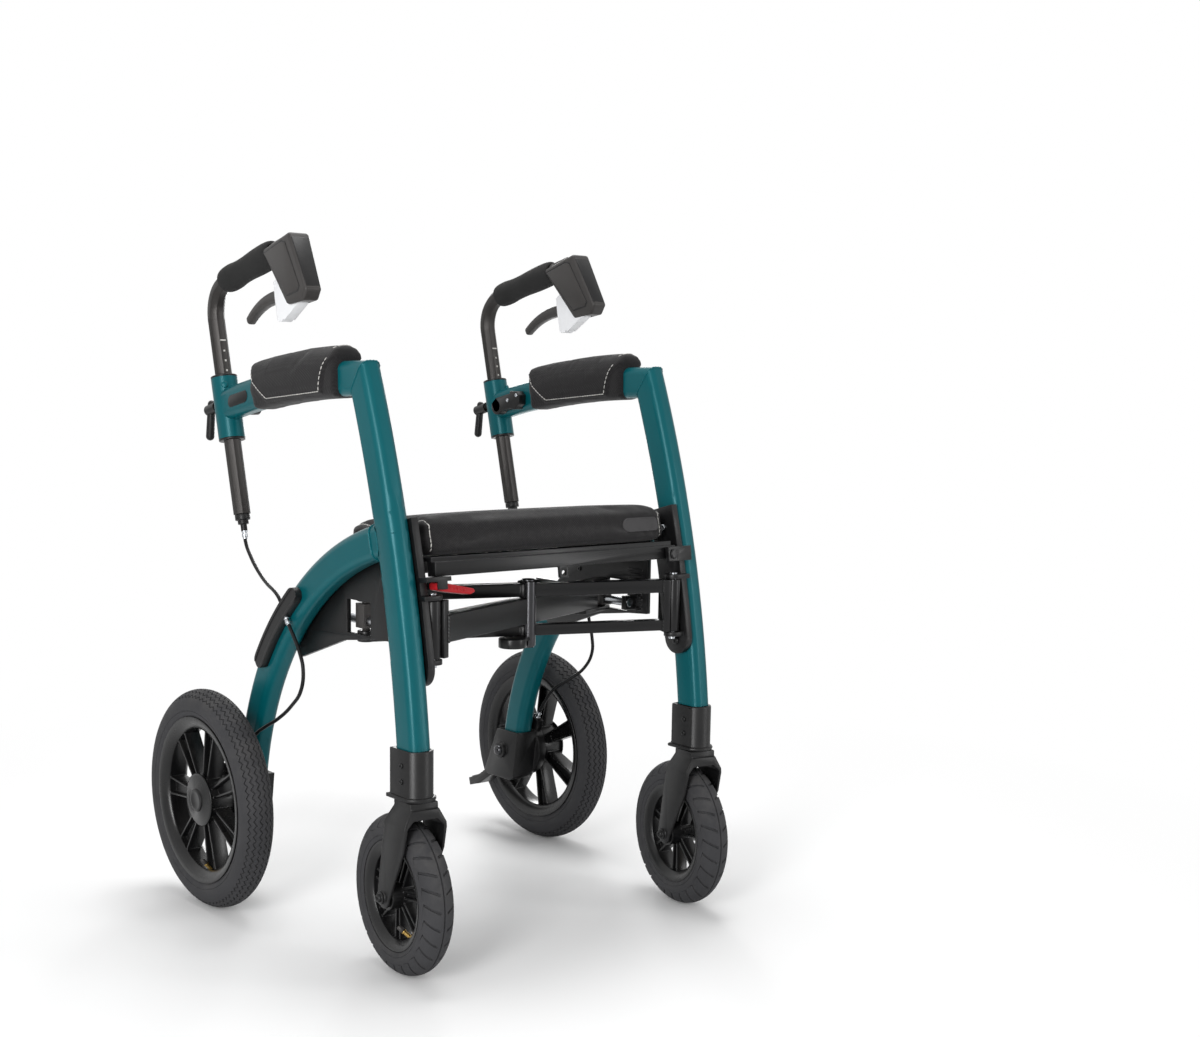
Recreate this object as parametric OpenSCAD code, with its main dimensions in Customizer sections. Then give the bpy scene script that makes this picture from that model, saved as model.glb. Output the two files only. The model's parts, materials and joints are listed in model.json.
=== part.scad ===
// Rollator that folds sideways, with a seat, two swivel casters and two large rear wheels.
// Lengths are millimetres. +Z is up and +Y points to the rear, away from the casters.
// Side outlines are drawn as (y, z), with y measured from the caster stem axis,
// and centred() then puts the middle of the footprint on the origin.

/* [Frame] */
// Distance from the middle plane to each side frame
frame_x = 238; // [225:0.5:250]
// Width of the frame tube, across the rollator
tube_w = 30; // [26:0.5:32]
// Depth of the frame tube, in the plane of the side frame
tube_d = 44; // [38:0.5:46]
// Corner radius of the frame tube
tube_corner = 11; // [6:0.5:12]
// Wall of the frame tube
tube_wall = 2.2; // [1.5:0.1:3]
// Radius of the bend of the front leg
leg_r = 1750; // [1600:10:1900]
// Lean of the leg at its foot, in degrees
leg_foot_lean = 5.5; // [4:0.1:7]
// Height of the leg's foot, inside the caster housing
leg_foot_z = 274; // [268:1:280]
// Height of the armrest tube's centre line at the front
arm_z = 745.5; // [735:0.5:755]
// Radius of the bend of the armrest
arm_r = 1650; // [1500:10:1800]
// Where the armrest is level, behind the caster stem
arm_level_y = 100; // [90:1:110]
// Radius of the rear arch's centre line
arch_r = 449; // [440:0.5:455]
// Centre of the rear arch, behind the caster stem
arch_y = -31; // [-36:0.5:-26]
// Centre of the rear arch, above the floor
arch_z = 109; // [104:0.5:114]

/* [Wheels] */
// Distance from the middle plane to each rear wheel
wheel_x = 298; // [294:0.5:304]
// Radius of the rear wheel over the tyre
rear_r = 155; // [150:0.5:158]
// Radius of the rear tyre's own section
rear_tyre_r = 23.4; // [20:0.1:25]
// Rear axle behind the caster stem
axle_y = 427; // [420:0.5:434]
// Radius of the caster wheel over the tyre
front_r = 103.5; // [100:0.5:106]
// Radius of the caster tyre's own section
front_tyre_r = 21.5; // [19:0.1:22]
// Trail of the caster wheel behind its stem
trail = 32.5; // [26:0.5:36]
// Spokes in each wheel
spokes = 7; // [5:1:9]
// Rest turn of the left caster, in degrees
left_turn = -4.85; // [-8:0.05:0]
// Rest turn of the right caster, in degrees
right_turn = -10; // [-14:0.05:0]

/* [Handles] */
// Where the handle post crosses its collar, behind the caster stem
post_y = 469; // [464:0.5:474]
// Height of that crossing
post_z = 700; // [694:0.5:706]
// Lean of the handle post to the rear, in degrees
post_lean = 13.87; // [12:0.05:15]
// Handle post across its corners
post_od = 23.8; // [22:0.1:24]
// Straight length of the post above the crossing, to the grip's axis
post_up = 170; // [160:1:180]
// Length of the post below the crossing
post_down = 151; // [140:1:160]
// Radius of the post's bend
post_bend = 45; // [40:1:50]
// Outer radius of the collar
collar_r = 18.5; // [18:0.1:20]
// Length of the collar above and below the crossing
collar_half = 43; // [40:0.5:46]
// Radius of the foam grip
grip_r = 17.6; // [16:0.1:19]
// Length of the foam grip
grip_len = 137; // [130:1:145]

/* [Seat] */
// Width of the cushion
cushion_w = 424; // [410:1:428]
// Depth of the cushion
cushion_d = 202; // [190:1:210]
// Thickness of the cushion
cushion_t = 49; // [44:0.5:56]
// Front lower edge of the cushion, behind the caster stem
seat_y = 20; // [16:0.5:24]
// Height of that edge
seat_z = 529; // [525:0.5:535]
// Fall of the seat to the rear, in degrees
seat_fall = 6.6; // [5:0.1:8]
// Seat pivot, from the middle plane
seat_pivot_x = 190; // [187:0.5:193]

/* [Cross links] */
// Hinge of each cross link, from the middle plane
hinge_x = 203; // [200:0.5:206]
// Front hinge, behind the caster stem
hinge_y = 16; // [12:0.5:20]
// Centre pin, behind the caster stem
pin_y = 92; // [88:0.5:96]
// Height of the slide rods
rod_z = 432; // [430:0.5:435]
// Radius of the slide rods
rod_r = 6; // [5:0.1:6.5]
// Underside of the upper bar of the double link
upper_bar_z = 458; // [457.5:0.1:460]
// Top of the lower bar of the double link
lower_bar_z = 419.5; // [417:0.1:420]

/* [Fits] */
// Radial running clearance of pins, axles and posts
run = 0.05; // [0.03:0.01:0.08]
// Gap between pieces that only lie beside each other
gap = 0.3; // [0.2:0.05:0.5]

/* [Hidden] */
$fn = 48;
long_bend = 1200;
teal = "#1f5f63";
black = "#1c1c1e";
grey = "#3a3a3c";
pale = "#d8d8d8";
steel = "#b9bcc0";

// Frame: worked out from the sizes above
leg_cy = leg_r * cos(leg_foot_lean) + 6.1;
leg_cz = 290 - leg_r * sin(leg_foot_lean);
function leg_y(z) = leg_cy - sqrt(leg_r * leg_r - (z - leg_cz) * (z - leg_cz));
function leg_lean(z) = asin((z - leg_cz) / leg_r);
corner_y = leg_y(arm_z);
mitre = 45 - leg_lean(arm_z) / 2;
arm_cz = arm_z - arm_r;
tube_in = frame_x - tube_w / 2;
tube_out = frame_x + tube_w / 2;
front_ring = front_r - front_tyre_r;
front_edge = trail * cos(left_turn) - front_ring * cos(left_turn) - front_tyre_r;
mid_y = (axle_y + rear_r + front_edge) / 2;

// Cross links
link_angle = atan2(pin_y - hinge_y, hinge_x);
link_half = norm([hinge_x, pin_y - hinge_y]);
bar_h = 18;
low_bar_h = 14.5;
link_pin_r = 6;
link_end_r = 11.5;
barrel_r = 9.6;
hinge_pin_r = 5;
hinge_top = upper_bar_z + bar_h;
hinge_low = lower_bar_z - low_bar_h - 2;
lug_t = 6;
carriage_half = 10;
rear_y = 2 * pin_y - hinge_y;

// Handles
grip_start = 45;
block_start = grip_start + grip_len;
lever_v = 226;
lever_w = 118;
lever_in = -6;
lever_out = 10;
lever_pin_r = 4;
lever_room = 0.8;
bush_bore = post_od / 2 + run;
plug_r = 9;
plug_len = 24;

// Brake cables: points as (x, y, z) measured outward, back from the caster stem and up
cable_r = 2.5;
upper_route = [[238, 427, 529.8], [238.5, 423.4, 515.5], [241, 405, 497], [246, 373, 478],
               [252, 338, 465], [257, 312, 459.5], [259, 297, 453], [259, 289.7, 445.8]];
left_route = [[259, 275.6, 426.5], [260, 268, 418.5], [263, 250, 405], [265, 233, 388], [266, 222, 366],
              [266, 228, 337], [266, 252, 313], [266, 290, 288], [265, 326, 271], [264, 354, 256],
              [264, 374, 238], [264, 386, 221], [264, 393.2, 208.8]];
right_route = [[259, 275.6, 426.5], [261, 271, 414], [263, 268, 385], [264, 261, 356], [264, 260, 334],
               [265, 278, 307], [265, 318, 281], [264, 352, 261], [264, 374, 238], [264, 386, 221],
               [264, 393.2, 208.8]];

// Placing and drawing helpers
module centred() { translate([0, -mid_y, 0]) children(); }
module side(s) {
    if (s > 0) children();
    else mirror([1, 0, 0]) children();
}
module across(x0, x1) { translate([x0, 0, 0]) rotate([90, 0, 90]) linear_extrude(x1 - x0) children(); }
module round_x(r, x0, x1, y, z) { translate([x0, y, z]) rotate([0, 90, 0]) cylinder(r = r, h = x1 - x0); }
module round_z(r, z0, z1, x, y) { translate([x, y, z0]) cylinder(r = r, h = z1 - z0); }
module bend(cy, cz, a0, a1, steps = 240) {
    translate([0, cy, cz]) rotate([90, 0, 90]) rotate([0, 0, a0])
        rotate_extrude(angle = a1 - a0, $fn = steps) children();
}
module soft_rect(a, b, r) {
    square([a, b - 2 * r], center = true);
    square([a - 2 * r, b], center = true);
    for (u = [-1, 1], v = [-1, 1]) translate([u * (a / 2 - r), v * (b / 2 - r)]) circle(r, $fn = 48);
}
module tube_section(r) {
    translate([r, frame_x]) difference() {
        soft_rect(tube_d, tube_w, tube_corner);
        soft_rect(tube_d - 2 * tube_wall, tube_w - 2 * tube_wall, tube_corner - tube_wall);
    }
}
module tube_cut(r) { translate([r, frame_x]) soft_rect(tube_d, tube_w + 2 * run, tube_corner); }
module rear_of_mitre(shift = 0) {
    translate([0, corner_y, arm_z]) rotate([mitre, 0, 0]) translate([0, shift, -300]) cube([600, 600, 600]);
}
module at_post() { translate([frame_x, post_y, post_z]) rotate([-post_lean, 0, 0]) children(); }
module at_seat() { translate([0, seat_y, seat_z]) rotate([-seat_fall, 0, 0]) children(); }

// Side frames
module leg_bend(z0, z1) {
    bend(leg_cy, leg_cz, 180 - leg_lean(z1), 180 - leg_lean(z0), long_bend) children();
}
module leg() {
    color(teal) difference() {
        leg_bend(leg_foot_z, arm_z + tube_d) tube_section(leg_r);
        rear_of_mitre();
    }
}
module armrest() {
    rear_angle = acos((post_y - arm_level_y) / arm_r);
    front_angle = 90 + asin((arm_level_y - corner_y + tube_d) / arm_r);
    color(teal) difference() {
        union() {
            difference() {
                intersection() {
                    bend(arm_level_y, arm_cz, rear_angle, front_angle, long_bend) tube_section(arm_r);
                    rear_of_mitre();
                }
                at_post() translate([0, 0, -80]) cylinder(r = collar_r - 1.5, h = 160);
            }
            at_post() translate([0, 0, -collar_half]) cylinder(r = collar_r, h = 2 * collar_half);
        }
        at_post() translate([0, 0, -80]) cylinder(r = collar_r - 2.5, h = 160);
    }
}
arch_low = 7;
arch_high = 79;
module arch_bend() { bend(arch_y, arch_z, arch_low, arch_high) children(); }
module arch() {
    color(teal) difference() {
        arch_bend() tube_section(arch_r);
        leg_bend(440, 640) tube_cut(leg_r);
    }
}
module collar_bushes() {
    color(black) at_post() for (end = [0, 1]) mirror([0, 0, end]) difference() {
        union() {
            translate([0, 0, collar_half]) cylinder(r = collar_r, h = 3);
            translate([0, 0, collar_half - 16]) cylinder(r = collar_r - 2.5 - run, h = 18);
        }
        translate([0, 0, collar_half - 20]) cylinder(r = bush_bore, h = 30);
    }
}

// Caster housing at the foot of each leg
housing_z = 237;
housing_top = 296;
housing_half = tube_w / 2 + 3.5;
housing_back = leg_y(housing_top) + tube_d / 2 + 3;
housing_nose = 21;
flange_t = 4;
stem_r = 11;
stem_len = 36;
module housing_outline(grow) {
    intersection() {
        circle(housing_nose + grow);
        translate([-housing_half - grow, -50]) square([2 * (housing_half + grow), 100]);
    }
    translate([-housing_half - grow, 0]) square([2 * (housing_half + grow), housing_back + grow]);
}
module caster_housing() {
    color(black) translate([frame_x, 0, 0]) difference() {
        union() {
            translate([0, 0, housing_z]) linear_extrude(housing_top - housing_z) housing_outline(0);
            translate([0, 0, housing_z - flange_t]) linear_extrude(flange_t + 1) housing_outline(3.5);
        }
        translate([-frame_x, 0, 0]) leg_bend(leg_foot_z, housing_top + 30) tube_cut(leg_r);
        translate([0, 0, housing_z - 10]) cylinder(r = stem_r + run, h = stem_len + 8);
    }
}

// Rear axle bracket with its axle and brake plate
axle_pin_r = 8;
bracket_half = 20;
brake_plate_r = 46;
plate_in = frame_x + bracket_half;
plate_out = wheel_x - 26;
module bracket_outline() {
    polygon([[386, 188], [440, 188], [473, 116], [467, 108], [406, 108], [398, 114]]);
}
module axle_bracket() {
    color(black) {
        difference() {
            across(frame_x - bracket_half, plate_in) bracket_outline();
            arch_bend() tube_cut(arch_r);
        }
        round_x(brake_plate_r, plate_in, plate_out, axle_y, rear_r);
        across(plate_in, plate_out - 2) polygon([[395, 176], [416, 190], [402, 213], [385, 203]]);
        round_x(axle_pin_r, frame_x - bracket_half - 4, wheel_x + 12, axle_y, rear_r);
        round_x(13, frame_x - bracket_half - 7, frame_x - bracket_half, axle_y, rear_r);
    }
}
module pedal() {
    color(black) difference() {
        across(frame_x - 13, frame_x + 13)
            polygon([[452, 128], [474, 116], [502, 97], [527, 88], [524, 76], [497, 84], [468, 103],
                     [452, 108]]);
        across(0, 400) bracket_outline();
    }
}

// Hinge bracket on the inner face of each front leg
bracket_in = tube_in - 10;
bracket_d = tube_d + 2;
bracket_low = 392;
bracket_top = 572;
module hinge_lug(z) {
    round_z(12, z, z + lug_t, hinge_x, hinge_y);
    translate([hinge_x, hinge_y - 12, z]) cube([tube_in - hinge_x - gap, 24, lug_t]);
}
module hinge_plate() {
    leg_bend(bracket_low, bracket_top)
        translate([leg_r - bracket_d / 2, bracket_in]) square([bracket_d, tube_in - gap - bracket_in]);
    round_x(bracket_d / 2 - gap, bracket_in, tube_in - gap, leg_y(bracket_low), bracket_low);
}
seat_axis_z = -18;
rail_front = -8;
rail_h = 18;
board_t = 6;
module seat_pivot_lug() {
    at_seat() {
        for (ear = [[-10, 7], [22, 24]]) translate([seat_pivot_x + ear[0], -16, seat_axis_z - 10])
            cube([tube_in - gap - seat_pivot_x - ear[0], ear[1], 20]);
    }
}
release_x = -200;
release_z = -35.5;
module seat_latch() {
    at_seat() {
        translate([-tube_in + gap, -18, -30]) cube([tube_in - gap - 187, 26, 5.7]);
        for (y = [-18, 5]) translate([-207, y, -40]) cube([14, 3, 12]);
        translate([release_x, -18, release_z]) rotate([-90, 0, 0]) cylinder(r = 3, h = 26);
    }
}
module hinge_bracket(s) {
    color(black) difference() {
        union() {
            side(s) {
                hinge_plate();
                hinge_lug(hinge_top + 1);
                hinge_lug(hinge_low - lug_t - 1);
            }
            if (s > 0) seat_pivot_lug();
            else seat_latch();
        }
        side(s) round_z(hinge_pin_r, 300, 600, hinge_x, hinge_y);
        if (s > 0) seat_rod();
    }
}
module seat_rod() {
    at_seat() translate([seat_pivot_x, -18, seat_axis_z]) rotate([-90, 0, 0])
        cylinder(r = hinge_pin_r, h = cushion_d + 8);
}

// Side panel under the rear arch, which carries the slide rod
panel_in = tube_in - 7.5;
rod_front = 106;
rod_back = 341;
lug_y = 9;
module rod_lug(y) { translate([hinge_x - 9, y, rod_z - 10]) cube([panel_in - hinge_x + 10, lug_y, 20]); }
module panel_outline() {
    difference() {
        intersection() {
            translate([arch_y, arch_z]) circle(arch_r + 14, $fn = 96);
            polygon([[84, 417], [124, 414], [191, 405], [302, 367], [345, 415], [345, 450], [225, 530],
                     [84, 560]]);
        }
        translate([127, 417]) square([57, 44]);
    }
}
module side_panel(s) {
    color(black) difference() {
        union() {
            side(s) {
                across(panel_in, tube_in - gap) {
                    panel_outline();
                    translate([240, rod_z - 12]) square([rod_back - 240, 24]);
                }
                rod_lug(rod_front);
                rod_lug(rod_back - lug_y);
                for (i = [0:8]) translate([panel_in - 1.5, 94, 421 + 7 * i]) cube([3, 30, 3.5]);
            }
            if (s > 0) at_seat() translate([seat_pivot_x - 10, cushion_d - 1, seat_axis_z - 10])
                cube([panel_in + 1 - seat_pivot_x + 10, 7, 20]);
        }
        side(s) slide_rod();
        if (s > 0) seat_rod();
    }
}
module slide_rod() {
    translate([hinge_x, rod_front, rod_z]) rotate([-90, 0, 0]) cylinder(r = rod_r, h = rod_back - rod_front);
}
module steel_pins(s) {
    color(steel) {
        side(s) {
            slide_rod();
            round_z(hinge_pin_r, hinge_low - lug_t - 5, hinge_top + lug_t + 3, hinge_x, hinge_y);
        }
        if (s > 0) seat_rod();
    }
}

// Padded wrap on each armrest: rings along the tube, a crowned skin outside and one close to the tube
pad_front = 150;
pad_back = 368;
pad_rings = 12;
pad_points = 28;
pad_crown = 20;
pad_side = 8;
pad_under = 2;
pad_lining = 0.5;
function arm_mid(y) = arm_cz + sqrt(arm_r * arm_r - (y - arm_level_y) * (y - arm_level_y));
function signed_pow(v, p) = sign(v) * pow(abs(v), p);
function pad_ring(y, wide, top, low, p) = [
    for (i = [0 : pad_points - 1]) let (a = 360 * i / pad_points, tall = sin(a) > 0 ? top : low)
        [frame_x + (tube_w / 2 + wide) * signed_pow(cos(a), p), y,
         arm_mid(y) + (tube_d / 2 + tall) * signed_pow(sin(a), p)]
];
module arm_pad() {
    n = pad_points;
    swell = [for (j = [0 : pad_rings]) 1 - pow(abs(2 * j / pad_rings - 1), 5)];
    ys = [for (j = [0 : pad_rings]) pad_front + (pad_back - pad_front) * (1 - cos(180 * j / pad_rings)) / 2];
    outer = [for (j = [0 : pad_rings]) each
        pad_ring(ys[j], 4 + (pad_side - 4) * swell[j], 4 + (pad_crown - 4) * swell[j], pad_under, 0.6)];
    inner = [for (j = [0 : pad_rings]) each pad_ring(ys[j], pad_lining, pad_lining, pad_lining, 0.5)];
    m = len(outer);
    skins = [for (j = [0 : pad_rings - 1], i = [0 : n - 1]) let (a = j * n + i, b = j * n + (i + 1) % n)
        each [[a, b, b + n], [a, b + n, a + n], [m + a, m + b + n, m + b], [m + a, m + a + n, m + b + n]]];
    rims = [for (i = [0 : n - 1]) let (k = (i + 1) % n, e = n * pad_rings) each [
        [i, m + i, m + k], [i, m + k, k], [e + i, e + k, m + e + k], [e + i, m + e + k, m + e + i]]];
    color(black) polyhedron(concat(outer, inner), concat(skins, rims), convexity = 6);
}

// Cable cover on the outer face of each arch
cover_r = arch_r + 4;
cover_w = 22;
cover_in = tube_out + gap;
cover_out = tube_out + 11;
cover_a0 = 33.7;
cover_a1 = 50.7;
module cable_cover() {
    color(black) difference() {
        union() {
            bend(arch_y, arch_z, cover_a0, cover_a1)
                translate([cover_r - cover_w / 2, cover_in]) square([cover_w, cover_out - cover_in]);
            for (a = [cover_a0, cover_a1]) translate([0, arch_y, arch_z])
                round_x(cover_w / 2 - gap, cover_in, cover_out, cover_r * cos(a), cover_r * sin(a));
        }
        bend(arch_y, arch_z, cover_a0 - 4, cover_a1 + 4)
            translate([cover_r - 7, cover_out - 1]) square([14, 4]);
    }
}

// Clip that takes a backrest, on the inner face of each armrest
clip_y = 437;
clip_bore = 8;
clip_in = tube_in - 14;
entry_y = clip_y - 42;
entry_r = 3.5;
module backrest_clip() {
    clip_z = arm_mid(clip_y) - 6;
    color(black) difference() {
        union() {
            across(clip_in, tube_in - gap) {
                translate([clip_y, clip_z]) circle(clip_bore + 5);
                polygon([[clip_y, clip_z + 13], [clip_y - 50, clip_z + 24], [clip_y - 58, clip_z + 18],
                         [clip_y - 57, clip_z + 4], [clip_y - 48, clip_z - 1], [clip_y, clip_z - 9]]);
                translate([entry_y - 8, clip_z - 3.6]) square([16, 27.6]);
            }
        }
        round_z(entry_r, clip_z - 10, clip_z + 30, tube_in - 7.5, entry_y);
        round_x(clip_bore, clip_in - 5, clip_in + 8, clip_y, clip_z);
        across(clip_in - 5, clip_in + 8) translate([clip_y, clip_z])
            rotate(50) translate([0, -clip_bore + 2]) square([40, 2 * clip_bore - 4]);
    }
}

// Brake cables: a round sweep along a smooth curve through the route's points
cable_sides = 8;
cable_steps = 3;
function curve(p, i, t) = let (
    n = len(p) - 1,
    a = p[max(i - 1, 0)], b = p[i], c = p[i + 1], d = p[min(i + 2, n)]
) ((2 * b) + (c - a) * t + (2 * a - 5 * b + 4 * c - d) * t * t + (3 * b - a - 3 * c + d) * t * t * t) / 2;
function unit(v) = v / norm(v);
module cable(route) {
    path = [for (i = [0 : len(route) - 2], k = [0 : cable_steps - 1]) curve(route, i, k / cable_steps),
            route[len(route) - 1]];
    last = len(path) - 1;
    rings = [for (i = [0 : last]) let (
        along = unit(path[min(i + 1, last)] - path[max(i - 1, 0)]),
        u = unit(cross(along, [1, 0, 0])),
        v = cross(along, u)
    ) each [for (k = [0 : cable_sides - 1]) let (a = 360 * k / cable_sides)
        path[i] + cable_r * (cos(a) * u + sin(a) * v)]];
    walls = [for (i = [0 : last - 1], k = [0 : cable_sides - 1]) let (
        a = i * cable_sides + k,
        b = i * cable_sides + (k + 1) % cable_sides
    ) each [[a, b + cable_sides, b], [a, a + cable_sides, b + cable_sides]]];
    caps = [for (k = [1 : cable_sides - 2]) each [
        [0, k, k + 1], [last * cable_sides, last * cable_sides + k + 1, last * cable_sides + k]]];
    color(black) polyhedron(rings, concat(walls, caps), convexity = 8);
}

// Rear wheels
bead_r = 112;
rim_in = 100;
hub_r = 34;
module ring_x() { rotate([0, 90, 0]) rotate_extrude() children(); }
module tyre(radius, section, bead) {
    color(black) ring_x() difference() {
        translate([radius - section, 0]) circle(section);
        translate([0, -50]) square([bead, 100]);
    }
}
module spoke(r0, r1, w0, w1, web, rib) {
    rotate([90, 0, 90]) {
        linear_extrude(web, center = true)
            polygon([[r0, -w0 / 2], [r1, -w1 / 2], [r1, w1 / 2], [r0, w0 / 2]]);
        for (u = [-1, 1]) linear_extrude(rib, center = true)
            polygon([[r0, u * w0 / 2], [r1, u * w1 / 2], [r1, u * (w1 / 2 - 3)], [r0, u * (w0 / 2 - 3)]]);
    }
}
module rear_rim() {
    color(black) difference() {
        union() {
            ring_x() polygon([
                [bead_r, -14], [bead_r, 14], [bead_r + 6, 19.5], [bead_r + 6, 21.5], [bead_r - 2, 20],
                [rim_in + 3, 16], [rim_in, 12], [rim_in, -12], [rim_in + 3, -16], [bead_r - 2, -20],
                [bead_r + 6, -21.5], [bead_r + 6, -19.5]]);
            for (i = [0 : spokes - 1]) rotate([360 * i / spokes, 0, 0])
                spoke(hub_r - 4, rim_in + 2, 15, 27, 5, 23);
            round_x(hub_r, -24, 16, 0, 0);
        }
        round_x(axle_pin_r + run, -40, 40, 0, 0);
        tyre(rear_r, rear_tyre_r, bead_r);
    }
}
module hub_cap() {
    color(black) translate([16, 0, 0]) ring_x()
        polygon([[0, 0], [37.5, 0], [37.5, 1.5], [34, 2.6], [17, 4.4], [15, 5.6], [10, 6.2], [0, 6.4]]);
}
module rear_tyre() { tyre(rear_r, rear_tyre_r, bead_r); }
module at_rear_wheel(s) { side(s) translate([wheel_x, axle_y, rear_r]) children(); }

// Casters
front_bead = 66;
front_rim_in = 57;
front_hub_r = 17;
fork_in = 25.5;
fork_out = 30;
crown_z = 211;
neck_top = housing_z - flange_t - gap;
module at_caster(s) {
    translate([s * frame_x, 0, 0]) rotate([0, 0, s > 0 ? right_turn : left_turn]) children();
}
module fork_side() {
    polygon([[-22, neck_top - 8], [22, neck_top - 8], [30, 200], [47, 108], [40, 92], [25, 92], [19, 100],
             [-19, 172], [-25, 200]]);
    translate([trail, front_r]) circle(14.6);
}
module fork_front() {
    difference() {
        polygon([[-20, neck_top - 8], [20, neck_top - 8], [fork_out, 206], [fork_out, 80],
                 [-fork_out, 80], [-fork_out, 206]]);
        polygon([[-fork_in, 0], [fork_in, 0], [fork_in, crown_z - 9], [fork_in - 9, crown_z],
                 [9 - fork_in, crown_z], [-fork_in, crown_z - 9]]);
    }
}
front_axle_r = 6;
module fork(s) {
    color(black) at_caster(s) {
        intersection() {
            across(-40, 40) fork_side();
            rotate([90, 0, 0]) linear_extrude(160, center = true) fork_front();
        }
        translate([-20, -20, crown_z + 1]) cube([40, 42, neck_top - crown_z - 1]);
        translate([0, 0, neck_top - 2]) cylinder(r = stem_r, h = stem_len + 2);
        round_x(front_axle_r, -fork_out - 2, fork_out + 2, trail, front_r);
        for (u = [-1, 1]) round_x(8, u * 31.5 - 1.5, u * 31.5 + 1.5, trail, front_r);
    }
}
module front_rim() {
    color(black) difference() {
        union() {
            ring_x() polygon([
                [front_bead, -12], [front_bead, 12], [front_bead + 5, 17], [front_bead + 5, 19],
                [front_bead - 2, 17.5], [front_rim_in, 12], [front_rim_in, -12], [front_bead - 2, -17.5],
                [front_bead + 5, -19], [front_bead + 5, -17]]);
            for (i = [0 : spokes - 1]) rotate([360 * i / spokes + 14, 0, 0])
                spoke(front_hub_r - 3, front_rim_in + 2, 11, 15, 6, 17);
            round_x(front_hub_r, -24.5, 24.5, 0, 0);
        }
        round_x(front_axle_r + run, -40, 40, 0, 0);
        tyre(front_r, front_tyre_r, front_bead);
    }
}
module front_tyre() { tyre(front_r, front_tyre_r, front_bead); }
module at_front_wheel(s) { at_caster(s) translate([0, trail, front_r]) children(); }

// Handles
// The bent stretch of the post is a hair thicker than the straight ones
bend_swell = 0.06;
module post_section(swell = 0) { rotate(22.5) circle(post_od / 2 + swell, $fn = 8); }
module post_straights(lead) {
    translate([0, 0, -post_down - lead]) linear_extrude(post_down + lead + post_up - post_bend) children();
    translate([0, -post_bend, post_up]) rotate([90, 0, 0])
        linear_extrude(block_start + 40 - post_bend + lead) children();
}
module post_elbow() {
    translate([0, -post_bend, post_up - post_bend]) rotate([90, 0, 90]) rotate_extrude(angle = 90)
        translate([post_bend, 0]) children();
}
module handle_post() {
    color(grey) at_post() difference() {
        union() {
            post_straights(0) post_section();
            post_elbow() post_section(bend_swell);
        }
        post_straights(1) circle(plug_r + run);
        post_elbow() circle(plug_r + run);
    }
}
module plug() {
    color(black) at_post() translate([0, 0, -post_down]) {
        translate([0, 0, -gap - 8]) cylinder(r = 10.5, h = 8);
        translate([0, 0, -gap - 14]) cylinder(r = 7.5, h = 8);
        translate([0, 0, -plug_len]) cylinder(r = 4.5, h = plug_len);
        translate([0, 0, -4]) cylinder(r = plug_r, h = 24);
    }
}
module grip() {
    color(black) at_post() translate([0, -grip_start, post_up]) rotate([90, 0, 0]) rotate_extrude()
    difference() {
        polygon([[12, 0], [grip_r - 3, 0.6], [grip_r - 0.4, 5], [grip_r + 0.6, 14], [grip_r + 0.4, 28],
                 [grip_r - 1, 48], [grip_r - 0.6, 70], [grip_r + 0.6, 100], [grip_r + 0.6, 124],
                 [grip_r - 0.6, grip_len - gap], [12, grip_len - gap]]);
        square([bush_bore, grip_len]);
    }
}
block_round = 5;
// Side outline of the brake housing, as forward, up, outer and inner half width
block_outline = [[block_start, 173, 18.5, 18.5], [247, 178, 16, 16], [272, 93, 16, 9.5], [263, 84, 16, 9.5],
                 [227, 86, 18.5, 11]];
module brake_housing() {
    color(grey) at_post() {
        difference() {
            hull() for (p = block_outline, u = [-1, 1]) let (
                half = u > 0 ? p[2] : p[3],
                inward = unit([222, 130] - [p[0], p[1]]) * block_round * 1.3
            ) translate([u * (half - block_round), -p[0] - inward[0], p[1] + inward[1]])
                sphere(block_round, $fn = 24);
            translate([0, -block_start + 10, post_up]) rotate([90, 0, 0]) cylinder(r = bush_bore, h = 52);
            round_x(40, lever_in - lever_room, lever_out + lever_room, -lever_v, lever_w);
        }
        round_x(lever_pin_r, lever_in - lever_room - 1, lever_out + lever_room + 1, -lever_v, lever_w);
    }
}
lever_bend = 190;
lever_bend_v = 145;
lever_bend_w = -75;
lever_tip = 70;
module brake_lever() {
    mid = (lever_in + lever_out) / 2;
    color(pale) at_post() difference() {
        union() {
            across(lever_in, lever_out) {
                polygon([[-185, 128], [-181, 84], [-200, 74], [-240, 86], [-234, 130], [-210, 138]]);
                translate([-191, 84]) circle(10);
            }
            bend(-lever_bend_v, lever_bend_w, lever_tip, 105)
                translate([lever_bend, mid]) soft_rect(13, 14, 4);
            round_x(6.5, mid - 7, mid + 7, lever_bend * cos(lever_tip) - lever_bend_v,
                    lever_bend * sin(lever_tip) + lever_bend_w);
        }
        round_x(lever_pin_r + run, lever_in - 5, lever_out + 5, -lever_v, lever_w);
    }
}
clamp_back = 57;
module clamp_lever() {
    color(black) at_post() translate([0, 0, 9]) {
        translate([0, collar_r + 0.4, 0]) rotate([-90, 0, 0]) cylinder(r = 5, h = 12);
        translate([0, 30, 0]) rotate([-90, 0, 0]) cylinder(r = 8, h = clamp_back - 30);
        rotate([post_lean, 0, 0]) {
            hull() {
                translate([0, 47, -4]) sphere(5.5, $fn = 24);
                translate([0, 53, -50]) sphere(6, $fn = 24);
            }
        }
    }
}

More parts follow.
